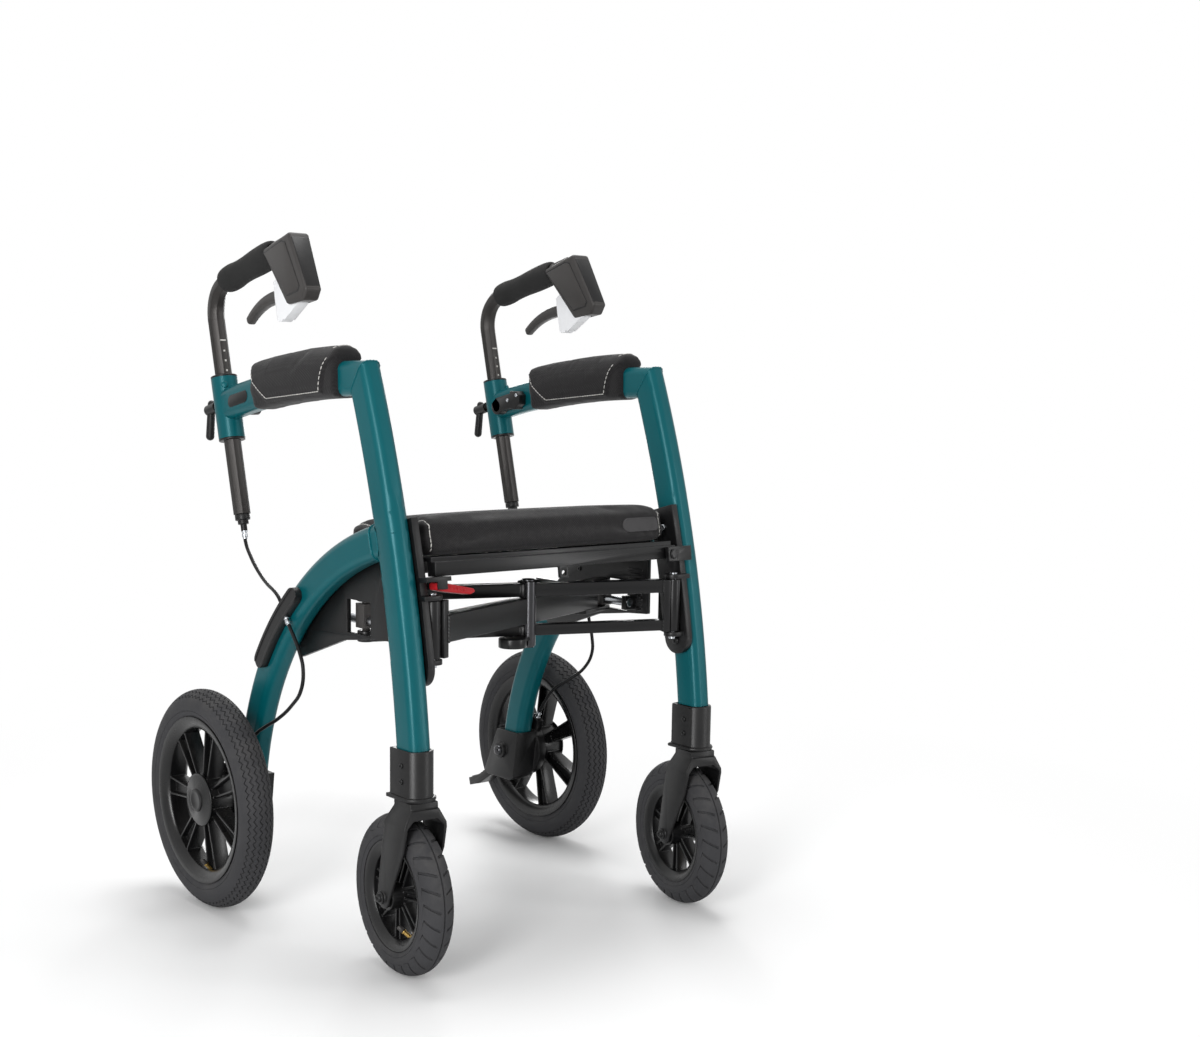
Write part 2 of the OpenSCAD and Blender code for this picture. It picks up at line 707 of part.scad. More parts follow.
// Cross links: a double link and a single link, crossing at the centre pin
module on_link(turn) { translate([0, pin_y, 0]) rotate([0, 0, turn]) children(); }
module hinge_barrel(x) { round_z(barrel_r, hinge_low, hinge_top, x, 0); }
module box_bar(x0, x1, half, z0, z1) { translate([x0, -half, z0]) cube([x1 - x0, 2 * half, z1 - z0]); }
low_bar_bottom = lower_bar_z - low_bar_h;
module double_link() {
    color(black) on_link(-link_angle) difference() {
        union() {
            for (z = [[upper_bar_z, hinge_top], [low_bar_bottom, lower_bar_z]]) {
                box_bar(-link_half, link_half - 8, 9, z[0], z[1]);
                round_z(link_end_r, z[0], z[1], -link_half, 0);
                round_z(13, z[0], z[1], 0, 0);
            }
            box_bar(link_half - 18, link_half - 8, 11, hinge_low, hinge_top);
            hinge_barrel(link_half);
        }
        for (x = [-link_half, link_half]) round_z(hinge_pin_r + run, 300, 600, x, 0);
        round_z(link_pin_r + run, 300, 600, 0, 0);
    }
}
tube_low = lower_bar_z + 2.5;
tube_top = upper_bar_z - 1.5;
module single_link() {
    color(black) on_link(link_angle) {
        difference() {
            union() {
                box_bar(8 - link_half, link_half - 34, 12, tube_low, tube_top);
                box_bar(8 - link_half, 18 - link_half, 12, hinge_low, hinge_top);
                hinge_barrel(-link_half);
                for (z = [tube_low - 6, tube_top]) {
                    box_bar(link_half - 68, link_half, link_end_r, z, z + 6);
                    round_z(link_end_r, z, z + 6, link_half, 0);
                }
                round_z(16, tube_low, tube_top, 0, 0);
            }
            for (x = [-link_half, link_half]) round_z(hinge_pin_r + run, 300, 600, x, 0);
        }
        round_z(link_pin_r, low_bar_bottom - 4, hinge_top + 4, 0, 0);
        round_z(10, hinge_top + gap, hinge_top + 3, 0, 0);
        round_z(15, low_bar_bottom - 9, low_bar_bottom - gap, 0, 0);
        box_bar(-30, 0, 15, low_bar_bottom - 5, low_bar_bottom - gap);
        round_z(19, low_bar_bottom - 13, low_bar_bottom - gap, -30, 0);
    }
}
module carriage(s, top, low) {
    color(grey) side(s) translate([hinge_x, rear_y, 0]) difference() {
        union() {
            translate([-carriage_half, -carriage_half, tube_low + 1])
                cube([2 * carriage_half, 2 * carriage_half, tube_top - tube_low - 2]);
            round_z(hinge_pin_r, low, top, 0, 0);
        }
        translate([0, -50, rod_z]) rotate([-90, 0, 0]) cylinder(r = rod_r + run, h = 100);
    }
}

module left_carriage() { carriage(-1, hinge_top, low_bar_bottom); }
module right_carriage() { carriage(1, tube_top + 6, tube_low - 6); }

// Seat: a tray on two rails, and its cushion
board_half = 203;
board_w = board_half + seat_pivot_x + 10;
module seat_frame() {
    color(grey) at_seat() difference() {
        union() {
            translate([-board_half, 0, -board_t]) cube([board_w, cushion_d - 3, board_t]);
            for (y = [rail_front, cushion_d - 3 - rail_h])
                translate([-board_half, y, -board_t - rail_h]) cube([board_w, rail_h, rail_h]);
            translate([-8, rail_front, -board_t - rail_h - 14]) cube([16, 4, 15]);
        }
        translate([seat_pivot_x, -40, seat_axis_z]) rotate([-90, 0, 0])
            cylinder(r = hinge_pin_r + run, h = 400);
        translate([0, -40, -board_t - rail_h - 8]) rotate([-90, 0, 0]) cylinder(r = 3.5, h = 60);
    }
}
cushion_points = 48;
cushion_levels = [[0.90, 0], [0.985, 0.08], [1, 0.3], [0.985, 0.6], [1, 0.82], [0.985, 0.93], [0.95, 0.985],
                  [0.8, 1.03], [0.5, 1.07], [0.2, 1.08]];
function cushion_edge(a) = let (
    c = signed_pow(cos(a), 0.22), s = signed_pow(sin(a), 0.22),
    draw = 1 - 0.014 * (1 - pow(abs(sin(2 * a)), 0.35))
) [c * draw, s * draw];
module seat_cushion() {
    n = cushion_points;
    rows = len(cushion_levels);
    skin = [for (level = cushion_levels, i = [0 : n - 1]) let (e = cushion_edge(360 * (i + 0.5) / n))
        [e[0] * level[0] * cushion_w / 2, e[1] * level[0] * cushion_d / 2, level[1] * cushion_t]];
    points = concat(skin, [[0, 0, 0], [0, 0, 1.085 * cushion_t]]);
    walls = [for (j = [0 : rows - 2], i = [0 : n - 1]) let (a = j * n + i, b = j * n + (i + 1) % n)
        each [[a, b + n, b], [a, a + n, b + n]]];
    caps = [for (i = [0 : n - 1]) let (k = (i + 1) % n, t = (rows - 1) * n)
        each [[rows * n, i, k], [rows * n + 1, t + k, t + i]]];
    color(black) at_seat() translate([0, cushion_d / 2, gap])
        polyhedron(points, concat(walls, caps), convexity = 6);
}
module release_lever() {
    color("#b3262b") at_seat() translate([0, -14.5, 0]) rotate([-90, 0, 0]) mirror([0, 1, 0]) difference() {
        linear_extrude(19) polygon([[-206, -31.5], [-200, -30.8], [-151, -42], [-149, -46], [-156, -49],
                                    [-194, -43], [-206, -40]]);
        translate([release_x, release_z, -1]) cylinder(r = 3 + run, h = 30);
    }
}

centred() side(-1) leg();  // left_leg
centred() side(-1) armrest();  // left_armrest
centred() side(-1) arch();  // left_arch
centred() side(-1) collar_bushes();  // left_collar_bushes
centred() side(-1) caster_housing();  // left_caster_housing
centred() side(-1) axle_bracket();  // left_axle_bracket
centred() hinge_bracket(-1);  // left_hinge_bracket
centred() side_panel(-1);  // left_side_panel
centred() steel_pins(-1);  // left_steel_pins
centred() side(-1) arm_pad();  // left_arm_pad
centred() side(-1) cable_cover();  // left_cable_cover
centred() side(-1) backrest_clip();  // left_backrest_clip
centred() side(-1) cable(left_route);  // left_lower_cable
centred() side(-1) cable(upper_route);  // left_upper_cable
centred() leg();  // right_leg
centred() armrest();  // right_armrest
centred() arch();  // right_arch
centred() collar_bushes();  // right_collar_bushes
centred() caster_housing();  // right_caster_housing
centred() axle_bracket();  // right_axle_bracket
centred() hinge_bracket(1);  // right_hinge_bracket
centred() side_panel(1);  // right_side_panel
centred() steel_pins(1);  // right_steel_pins
centred() arm_pad();  // right_arm_pad
centred() cable_cover();  // right_cable_cover
centred() backrest_clip();  // right_backrest_clip
centred() cable(right_route);  // right_lower_cable
centred() cable(upper_route);  // right_upper_cable
centred() pedal();  // tipping_pedal
centred() at_rear_wheel(-1) rear_tyre();  // left_rear_tyre
centred() at_rear_wheel(-1) rear_rim();  // left_rear_rim
centred() at_rear_wheel(-1) hub_cap();  // left_hub_cap
centred() at_rear_wheel(1) rear_tyre();  // right_rear_tyre
centred() at_rear_wheel(1) rear_rim();  // right_rear_rim
centred() at_rear_wheel(1) hub_cap();  // right_hub_cap
centred() fork(-1);  // left_fork
centred() at_front_wheel(-1) front_tyre();  // left_front_tyre
centred() at_front_wheel(-1) front_rim();  // left_front_rim
centred() fork(1);  // right_fork
centred() at_front_wheel(1) front_tyre();  // right_front_tyre
centred() at_front_wheel(1) front_rim();  // right_front_rim
centred() side(-1) plug();  // left_post_plug
centred() side(-1) handle_post();  // left_handle_post
centred() side(-1) grip();  // left_grip
centred() side(-1) brake_housing();  // left_brake_housing
centred() side(-1) brake_lever();  // left_brake_lever
centred() plug();  // right_post_plug
centred() handle_post();  // right_handle_post
centred() grip();  // right_grip
centred() brake_housing();  // right_brake_housing
centred() brake_lever();  // right_brake_lever
centred() side(-1) clamp_lever();  // left_clamp_lever
centred() clamp_lever();  // right_clamp_lever
centred() double_link();
centred() single_link();
centred() left_carriage();
centred() right_carriage();
centred() seat_frame();
centred() seat_cushion();
centred() release_lever();
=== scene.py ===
"""Dresses a packed folding rollator: finishes, tyres, padding, grips, cables and small fittings."""

import json
import math

import bmesh
import bpy
from mathutils import Matrix, Vector
from mathutils.bvhtree import BVHTree


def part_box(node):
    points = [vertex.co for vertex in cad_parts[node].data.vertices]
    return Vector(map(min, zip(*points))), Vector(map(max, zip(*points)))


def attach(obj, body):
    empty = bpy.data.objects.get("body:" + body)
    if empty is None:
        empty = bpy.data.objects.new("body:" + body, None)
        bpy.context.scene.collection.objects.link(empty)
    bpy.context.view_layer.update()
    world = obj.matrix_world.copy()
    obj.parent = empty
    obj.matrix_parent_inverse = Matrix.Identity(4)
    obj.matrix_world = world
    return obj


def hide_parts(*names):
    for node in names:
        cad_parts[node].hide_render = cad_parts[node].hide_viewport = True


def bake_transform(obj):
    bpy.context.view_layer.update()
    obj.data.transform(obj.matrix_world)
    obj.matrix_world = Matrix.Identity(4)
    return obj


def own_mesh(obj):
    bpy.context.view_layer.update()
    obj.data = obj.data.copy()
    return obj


bl_info = {
    "name": "Folding rollator",
    "version": (1, 0, 0),
    "blender": (4, 5, 0),
    "location": "View3D > Sidebar > Rollator",
    "description": "Dresses the packed rollator with finishes, tyres, padding and small fittings",
    "category": "Object",
}

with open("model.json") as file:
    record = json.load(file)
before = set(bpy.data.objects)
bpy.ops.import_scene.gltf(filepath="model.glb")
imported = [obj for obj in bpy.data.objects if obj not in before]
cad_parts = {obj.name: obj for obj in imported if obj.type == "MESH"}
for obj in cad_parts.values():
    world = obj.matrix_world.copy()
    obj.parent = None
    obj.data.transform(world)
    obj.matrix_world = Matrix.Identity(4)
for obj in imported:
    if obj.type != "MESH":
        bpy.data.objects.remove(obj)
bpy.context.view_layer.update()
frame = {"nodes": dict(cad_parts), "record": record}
NODES = frame["nodes"]
BEHAVIOUR = frame["record"]["behaviour"]
BODY_OF = {node: body for body, nodes in BEHAVIOUR["bodies"].items() for node in nodes}
SLOT_OF = {part["node"]: part["material_slot"] for part in frame["record"]["subparts"]}
JOINT = {joint["name"]: joint for joint in BEHAVIOUR["joints"]}
SIDES = (("left", -1), ("right", 1))
FINISH = {}
WHITE = (1, 1, 1, 1)

# Outlines are in millimetres, with y measured back from the caster stems; STEM_Y is in metres
STEM_Y = JOINT["left_caster_swivel"]["pos_m"][1]
FRAME_X = 238.0
POST_FOOT = (469.0, 700.0)
POST_LEAN = Matrix.Rotation(math.radians(-13.87), 3, "X")
POST_AHEAD = POST_LEAN @ Vector((0, -1, 0))
SEAT_FOOT = (20.0, 529.0)
SEAT_FALL = Matrix.Rotation(math.radians(-6.6), 3, "X")
SEAT_BACK = SEAT_FALL @ Vector((0, 1, 0))
SEAT_UP = SEAT_FALL @ Vector((0, 0, 1))
SEAM_X = 192.0
ARM_CENTRE = (100.0, -904.5)
ARM_RADIUS = 1650.0
LEG_CENTRE = (1748.04, 122.27)
LEG_RADIUS = 1750.0

# Faces that meet at less than this angle count as one flat face
FLAT = math.radians(0.6)
# Metres by which a rounded edge may pass its CAD node's box
BOX_SLACK = 3e-4
# Metres of height in the bump of moulded grain and of woven cloth
GRAIN_HEIGHT, WEAVE_HEIGHT = 0.0004, 0.0005
CLOTH_PRESSURE, CLOTH_QUALITY, CLOTH_FRAMES = 4.0, 5, 20
# Metres from the middle of a brake cable to the outside of its jacket
CABLE_RADIUS = 0.0025
# Metres within which a dropped line has to meet its surface
DROP_REACH = 0.2
# Half a stitch as a share of its length, and its rise off the cloth as a share of the thread's radius
STITCH_HALF, STITCH_RISE = 0.62, 0.45


def srgb(*levels):
    """Turns 0-255 display levels into the linear colour that Blender's colour sockets hold."""
    return tuple(((c / 255 + 0.055) / 1.055) ** 2.4 if c > 10 else c / 255 / 12.92 for c in levels)


def at(x, y, z):
    """A point of the object's outlines, in metres in the shared frame."""
    return Vector((x / 1000, y / 1000 + STEM_Y, z / 1000))


def on_post(s, u, v, w):
    """A point by the handle post: u outward, v forward and w up along the leaning post."""
    return at(s * FRAME_X, *POST_FOOT) + Vector((s * u, 0, 0)) / 1000 + POST_LEAN @ Vector((0, -v, w)) / 1000


def on_seat(x, y, z):
    """A point by the seat board: y back and z up from its front edge."""
    return at(0, *SEAT_FOOT) + SEAT_FALL @ Vector((x, y, z)) / 1000


def on_arm(y, rise):
    """The height of a point that stands rise above the armrest's centre line, at y."""
    return ARM_CENTRE[1] + math.sqrt((ARM_RADIUS + rise) ** 2 - (y - ARM_CENTRE[0]) ** 2)


def leg_y(z):
    """How far back the curved front leg's centre line is at a height."""
    return LEG_CENTRE[0] - math.sqrt(LEG_RADIUS ** 2 - (z - LEG_CENTRE[1]) ** 2)


class Wiring:
    """Adds shader nodes to one tree and joins their sockets."""

    def __init__(self, tree):
        self.tree = tree

    def add(self, kind, inputs=None, **settings):
        node = self.tree.nodes.new("ShaderNode" + kind)
        for key, value in settings.items():
            setattr(node, key, value)
        for key, value in (inputs or {}).items():
            if isinstance(value, bpy.types.NodeSocket):
                self.tree.links.new(value, node.inputs[key])
            else:
                node.inputs[key].default_value = value
        return node

    def math(self, operation, a, b=0.0):
        return self.add("Math", {0: a, 1: b}, operation=operation).outputs[0]

    def span(self, value, low, high, to_low=0.0, to_high=1.0):
        return self.add("MapRange", {0: value, 1: low, 2: high, 3: to_low, 4: to_high}).outputs[0]

    def mix(self, factor, a, b):
        return self.add("Mix", {0: factor, 6: a, 7: b}, data_type="RGBA").outputs[2]

    def place(self):
        return self.add("TexCoord").outputs["Object"]

    def noise(self, scale, detail, roughness=0.5):
        return self.add("TexNoise", {"Vector": self.place(), "Scale": scale, "Detail": detail,
                                     "Roughness": roughness}).outputs[0]

    def effect(self, name, **inputs):
        return self.add("Group", {key.capitalize(): value for key, value in inputs.items()},
                        node_tree=bpy.data.node_groups[name]).outputs


def effect_group(name, inputs, outputs):
    """The wiring of a new shader node group, with its named float inputs and outputs."""
    tree = bpy.data.node_groups.new(name, "ShaderNodeTree")
    for label, value in inputs.items():
        tree.interface.new_socket(label, in_out="INPUT", socket_type="NodeSocketFloat").default_value = value
    for label in outputs:
        tree.interface.new_socket(label, in_out="OUTPUT", socket_type="NodeSocketFloat")
    return Wiring(tree), tree.nodes.new("NodeGroupInput").outputs, tree.nodes.new("NodeGroupOutput").inputs


def build_effects():
    """The shared effects: patches of tone, moulded grain, pale edges that are partly wear and partly painted
    sheen, weave and dust.
    """
    w, given, gives = effect_group("tone_patches", {"Scale": 8.0}, ["Value"])
    w.tree.links.new(w.span(w.noise(given["Scale"], 4.0, 0.6), 0.3, 0.7), gives["Value"])

    w, given, gives = effect_group("moulded_grain", {"Scale": 900.0}, ["Height"])
    fine = w.noise(given["Scale"], 2.0)
    pits = w.add("TexVoronoi", {"Vector": w.place(), "Scale": given["Scale"]}).outputs["Distance"]
    grain = w.math("ADD", w.math("MULTIPLY", fine, 0.6), w.math("MULTIPLY", pits, 0.4))
    w.tree.links.new(grain, gives["Height"])

    # Pale edges: partly real wear, partly a painted sheen that lightens every rounded edge as a highlight
    # would
    w, given, gives = effect_group("worn_and_sheen_edges", {"Radius": 0.002}, ["Mask"])
    eased = w.add("Bevel", {"Radius": given["Radius"]}, samples=4).outputs[0]
    flat = w.add("NewGeometry").outputs["Normal"]
    turn = w.add("VectorMath", {0: eased, 1: flat}, operation="DOT_PRODUCT").outputs["Value"]
    edge = w.span(w.math("SUBTRACT", 1.0, turn), 0.01, 0.22)
    w.tree.links.new(w.math("MULTIPLY", edge, w.span(w.noise(70.0, 5.0), 0.35, 0.65)), gives["Mask"])

    w, given, gives = effect_group("plain_weave", {"Threads": 700.0}, ["Height", "Tone"])
    axes = w.add("SeparateXYZ", {0: w.place()}).outputs
    turn = w.math("MULTIPLY", given["Threads"], math.pi)
    warp = w.math("SINE", w.math("MULTIPLY", axes["X"], turn))
    weft = w.math("SINE", w.math("MULTIPLY", w.math("ADD", axes["Y"], axes["Z"]), turn))
    cross = w.span(w.math("MULTIPLY", warp, weft), -1.0, 1.0)
    slub = w.noise(260.0, 3.0)
    w.tree.links.new(w.math("ADD", cross, slub), gives["Height"])
    w.tree.links.new(w.math("MULTIPLY", cross, slub), gives["Tone"])

    w, given, gives = effect_group("settled_dust", {"Scale": 30.0}, ["Mask"])
    up = w.add("SeparateXYZ", {0: w.add("NewGeometry").outputs["Normal"]}).outputs["Z"]
    cloud = w.span(w.noise(given["Scale"], 6.0, 0.7), 0.4, 0.75)
    w.tree.links.new(w.math("MULTIPLY", w.span(up, -0.2, 1.0), cloud), gives["Mask"])


def toned(colour, factor):
    """A colour made darker or paler, with the alpha that colour sockets hold."""
    return tuple(min(1.0, c * factor) for c in colour) + (1.0,)


def blank_finish(name):
    """The wiring of a new material that has no nodes yet."""
    material = bpy.data.materials.new(name)
    material.use_nodes = True
    material.node_tree.nodes.clear()
    FINISH[name] = material
    return Wiring(material.node_tree)


def dusted(w, base, scale, amount, levels):
    """A base colour under a film of settled dust."""
    film = w.math("MULTIPLY", w.effect("settled_dust", scale=scale)["Mask"], amount)
    return w.mix(film, base, srgb(*levels) + (1.0,))


def hard_finish(name, colour, rough, metallic=0.0, coat=0.0, shine=0.2, grain=900.0, bump=0.06, wear_and_sheen=0.3,
                paler=2.2, tone=0.12, patches=7.0, dust=0.0, edge=0.0012):
    """Paint, metal or moulded plastic, with tone patches, grain, eased edges and pale scuffs along them that
    are partly a painted sheen.
    """
    w = blank_finish(name)
    patch = w.effect("tone_patches", scale=patches)["Value"]
    base = w.mix(patch, toned(colour, 1 - tone), toned(colour, 1 + tone))
    # Lightens the edges: partly scuffs, partly a painted highlight along them
    scuffs_and_sheen = w.math("MULTIPLY", w.effect("worn_and_sheen_edges", radius=2 * edge)["Mask"], wear_and_sheen)
    base = w.mix(scuffs_and_sheen, base, toned([c * paler + 0.02 for c in colour], 1.0))
    if dust:
        base = dusted(w, base, 35.0, dust, (150, 146, 140))
    height = w.effect("moulded_grain", scale=grain)["Height"]
    eased = w.add("Bevel", {"Radius": edge}, samples=4).outputs[0]
    normal = w.add("Bump", {"Strength": bump, "Distance": GRAIN_HEIGHT, "Height": height, "Normal": eased})
    shader = w.add("BsdfPrincipled", {
        "Base Color": base, "Metallic": metallic, "Normal": normal.outputs[0],
        "Roughness": w.span(patch, 0.0, 1.0, rough - 0.05, rough + 0.06),
        "Specular IOR Level": shine, "Coat Weight": coat, "Coat Roughness": 0.22})
    w.add("OutputMaterial", {"Surface": shader.outputs[0]})


def cloth_finish(name, colour, threads, rough=0.86, sheen=0.12, bump=0.55):
    """Woven fabric: crossing threads with slubs, worn paler in patches, with a soft sheen."""
    w = blank_finish(name)
    weave = w.effect("plain_weave", threads=threads)
    base = w.mix(w.span(weave["Tone"], 0.1, 0.7), toned(colour, 0.55), toned(colour, 1.7))
    patch = w.effect("tone_patches", scale=11.0)["Value"]
    base = w.mix(w.math("MULTIPLY", patch, 0.3), base, toned(colour, 1.6))
    base = dusted(w, base, 60.0, 0.06, (140, 138, 134))
    normal = w.add("Bump", {"Strength": bump, "Distance": WEAVE_HEIGHT, "Height": weave["Height"]})
    shader = w.add("BsdfPrincipled", {
        "Base Color": base, "Roughness": w.span(patch, 0.0, 1.0, rough - 0.06, rough + 0.06),
        "Normal": normal.outputs[0], "Specular IOR Level": 0.12, "Sheen Weight": sheen,
        "Sheen Roughness": 0.5})
    w.add("OutputMaterial", {"Surface": shader.outputs[0]})


def mesh_of(name, bm):
    """Turns a bmesh into a mesh and frees it."""
    mesh = bpy.data.meshes.new(name)
    bm.to_mesh(mesh)
    bm.free()
    return mesh


def linked(name, data):
    """A new object in the scene."""
    obj = bpy.data.objects.new(name, data)
    bpy.context.scene.collection.objects.link(obj)
    return obj


def applied(obj):
    """A new mesh of what an object's curve or modifiers make."""
    return bpy.data.meshes.new_from_object(obj.evaluated_get(bpy.context.evaluated_depsgraph_get()))


def piece(name, bm, finish, body, replaces=(), sharp=38.0):
    """Makes a bmesh the mesh of a new piece, with its finish, its body and the CAD nodes it stands for."""
    bmesh.ops.recalc_face_normals(bm, faces=bm.faces)
    for face in bm.faces:
        face.smooth = True
    for edge in bm.edges:
        edge.smooth = not (edge.is_manifold and edge.calc_face_angle(0.0) > math.radians(sharp))
    return dress(linked(name, mesh_of(name, bm)), finish, body, replaces)


def dress(obj, finish, body, replaces=()):
    """Gives a piece its finish and slot, and lets it ride on its body if it has one."""
    obj.data.materials.clear()
    obj.data.materials.append(FINISH[finish])
    if body:
        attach(obj, body)
    if replaces:
        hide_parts(*replaces)
    return obj


def node_mesh(node, whole=True):
    """A merged copy of a CAD node's mesh, with its flat faces made whole where that is asked for."""
    bm = bmesh.new()
    bm.from_mesh(NODES[node].data)
    bmesh.ops.remove_doubles(bm, verts=bm.verts, dist=1e-5)
    if whole:
        bmesh.ops.dissolve_limit(bm, angle_limit=FLAT, verts=bm.verts, edges=bm.edges)
    return bm


def corners(bm, angle=32.0):
    """The edges at which two faces meet at more than an angle."""
    return [e for e in bm.edges if e.is_manifold and e.calc_face_angle(0.0) > math.radians(angle)]


def round_over(bm, edges, width, segments, clamp=True):
    """Rounds edges over by a width in metres."""
    bmesh.ops.bevel(bm, geom=edges, offset=width, offset_type="OFFSET", segments=segments, profile=0.5,
                    affect="EDGES", material=-1, clamp_overlap=clamp)


def eased_piece(node, width):
    """A copy of a rigid CAD node with its hard edges rounded over, as widely as its small faces allow."""
    low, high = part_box(node)
    for share in (1.0, 0.5, 0.25, 0.0):
        bm = node_mesh(node, whole=width > 0)
        if share * width:
            round_over(bm, corners(bm), share * width / 1000, 2, clamp=False)
        if all(low[k] - BOX_SLACK <= v.co[k] <= high[k] + BOX_SLACK for v in bm.verts for k in range(3)):
            break
        bm.free()
    piece(node + "_dressed", bm, SLOT_OF[node], BODY_OF[node], [node])


def tube_mesh(points, radius, closed=False, sides=4, steps=6):
    """A bmesh of a round tube along a smooth line through the points."""
    curve = bpy.data.curves.new("route", "CURVE")
    curve.dimensions = "3D"
    curve.bevel_depth = radius
    curve.bevel_resolution = sides
    curve.resolution_u = steps
    curve.use_fill_caps = not closed
    spline = curve.splines.new("BEZIER")
    spline.bezier_points.add(len(points) - 1)
    spline.use_cyclic_u = closed
    for knot, point in zip(spline.bezier_points, points):
        knot.co = point
        knot.handle_left_type = knot.handle_right_type = "AUTO"
    obj = linked("route", curve)
    mesh = applied(obj)
    bm = bmesh.new()
    bm.from_mesh(mesh)
    bmesh.ops.remove_doubles(bm, verts=bm.verts, dist=1e-6)
    bpy.data.objects.remove(obj)
    bpy.data.curves.remove(curve)
    bpy.data.meshes.remove(mesh)
    return bm


def join_in(bm, part):
    """Adds one bmesh to another."""
    mesh = mesh_of("part", part)
    bm.from_mesh(mesh)
    bpy.data.meshes.remove(mesh)


def lathe(bm, profile, foot, axis, steps=40):
    """Spins a profile of (along, radius) pairs in millimetres round an axis from a foot point."""
    turn = Vector((0, 0, 1)).rotation_difference(Vector(axis)).to_matrix().to_4x4()
    verts = [bm.verts.new((r / 1000, 0, h / 1000)) for h, r in profile]
    edges = [bm.edges.new(pair) for pair in zip(verts, verts[1:])]
    bmesh.ops.spin(bm, geom=verts + edges, cent=(0, 0, 0), axis=(0, 0, 1), dvec=(0, 0, 0),
                   angle=math.tau, steps=steps, use_merge=True, use_duplicate=False)
    made = {v for e in edges for f in e.link_faces for v in f.verts}
    grown = set(made)
    while grown:
        grown = {w for v in grown for e in v.link_edges for w in e.verts} - made
        made |= grown
    made = list(made)
    bmesh.ops.remove_doubles(bm, verts=made, dist=1e-6)
    made = [v for v in made if v.is_valid]
    bmesh.ops.transform(bm, matrix=Matrix.Translation(foot) @ turn, verts=made)


def screw(bm, foot, axis, radius, height, socket=True):
    """A pan-headed screw with a round dip in its head, or a plain rivet without it."""
    rim = [(-1.0, 0.0), (-1.0, radius), (height * 0.55, radius), (height * 0.85, radius * 0.9),
           (height, radius * 0.7)]
    top = [(height * 1.05, 0.0)]
    if socket:
        top = [(height, radius * 0.45), (height - 1.4, radius * 0.42), (height - 1.4, 0.0)]
    lathe(bm, rim + top, foot, axis, 12)


def washer(bm, foot, axis, inner, outer, height):
    """A flat ring under a bolt's head."""
    lathe(bm, [(-0.4, inner), (-0.4, outer), (height * 0.6, outer), (height, outer - 0.8), (height, inner),
               (-0.4, inner)], foot, axis, 28)


def thicken(bm, faces, lift):
    """Extrudes faces by a vector, keeps the first ones as the back and gives the new points."""
    grown = bmesh.ops.extrude_face_region(bm, geom=faces, use_keep_orig=True)["geom"]
    moved = [v for v in grown if isinstance(v, bmesh.types.BMVert)]
    bmesh.ops.translate(bm, vec=lift, verts=moved)
    return moved


def prism(bm, outline, lift, ease=0.0):
    """Extrudes a closed outline of points by a vector, and rounds its edges by millimetres."""
    face = bm.faces.new([bm.verts.new(p) for p in outline])
    top = thicken(bm, [face], lift)
    if ease:
        faces = {f for v in top for f in v.link_faces} | {face}
        round_over(bm, list({e for f in faces for e in f.edges}), ease / 1000, 2)


def surface_of(obj):
    """The surface of a piece or node, for setting things on."""
    bm = bmesh.new()
    bm.from_mesh(obj.data)
    tree = BVHTree.FromBMesh(bm)
    bm.free()
    return tree


def drop_on(tree, start, direction):
    """The point and normal where a line from start meets a surface."""
    spot, normal, _, _ = tree.ray_cast(start, direction, DROP_REACH)
    if spot is None:
        raise RuntimeError(f"nothing under {tuple(round(c, 4) for c in start)}")
    return spot, normal


def screw_on(bm, tree, start, toward, radius, height):
    """Sets a screw where a line from start meets a surface, with its head facing back."""
    screw(bm, drop_on(tree, start, toward)[0], -toward, radius, height)


def stitch_row(bm, tree, path, direction, sizes):
    """Sews short stitches along a path of points, each laid on the surface below it."""
    pitch = sizes.stitch_length + sizes.stitch_gap
    shape = Matrix.Diagonal((sizes.stitch_length * STITCH_HALF, sizes.thread_radius, sizes.thread_radius, 1))
    for a, b in zip(path, path[1:]):
        run = b - a
        count = max(1, int(run.length / pitch))
        for k in range(count):
            spot, normal = drop_on(tree, a + run * ((k + 0.5) / count), direction)
            ahead, _ = drop_on(tree, a + run * ((k + 0.7) / count), direction)
            along = (ahead - spot).normalized()
            seat = Matrix((along, normal.cross(along), normal)).transposed().to_4x4()
            seat.translation = spot + normal * STITCH_RISE * sizes.thread_radius
            bmesh.ops.create_icosphere(bm, subdivisions=1, radius=1.0, matrix=seat @ shape)


class RollatorColours(bpy.types.PropertyGroup):
    """Colours of the rollator's finishes."""

    def tint(label, hint, *levels):
        return bpy.props.FloatVectorProperty(name=label, description=hint, subtype="COLOR", size=3, min=0.0,
                                             max=1.0, default=srgb(*levels))

    teal: tint("Teal", "Paint of the tubes", 0, 82, 89)
    black: tint("Black", "Moulded brackets, forks and link bars", 14, 14, 15)
    wheel: tint("Wheel", "Glossy moulded rims", 12, 12, 13)
    grey: tint("Grey", "Posts, brake housings and lever arms", 52, 50, 49)
    rubber: tint("Rubber", "Tyres", 52, 52, 54)
    fabric: tint("Fabric", "Cushion and arm pads", 32, 31, 32)
    foam: tint("Foam", "Hand grips", 38, 38, 38)
    thread: tint("Thread", "Stitching and scale marks", 196, 194, 190)
    pale: tint("Pale", "Brake lever hubs", 226, 227, 229)
    red: tint("Red", "Seat release lever", 158, 28, 34)
    steel: tint("Steel", "Pins and bolts", 178, 181, 185)
    pin: tint("Pin", "Polished dark pins", 70, 70, 72)
    label: tint("Label", "Bare sewn label", 62, 61, 62)
    brass: tint("Brass", "Tyre valves", 176, 146, 84)


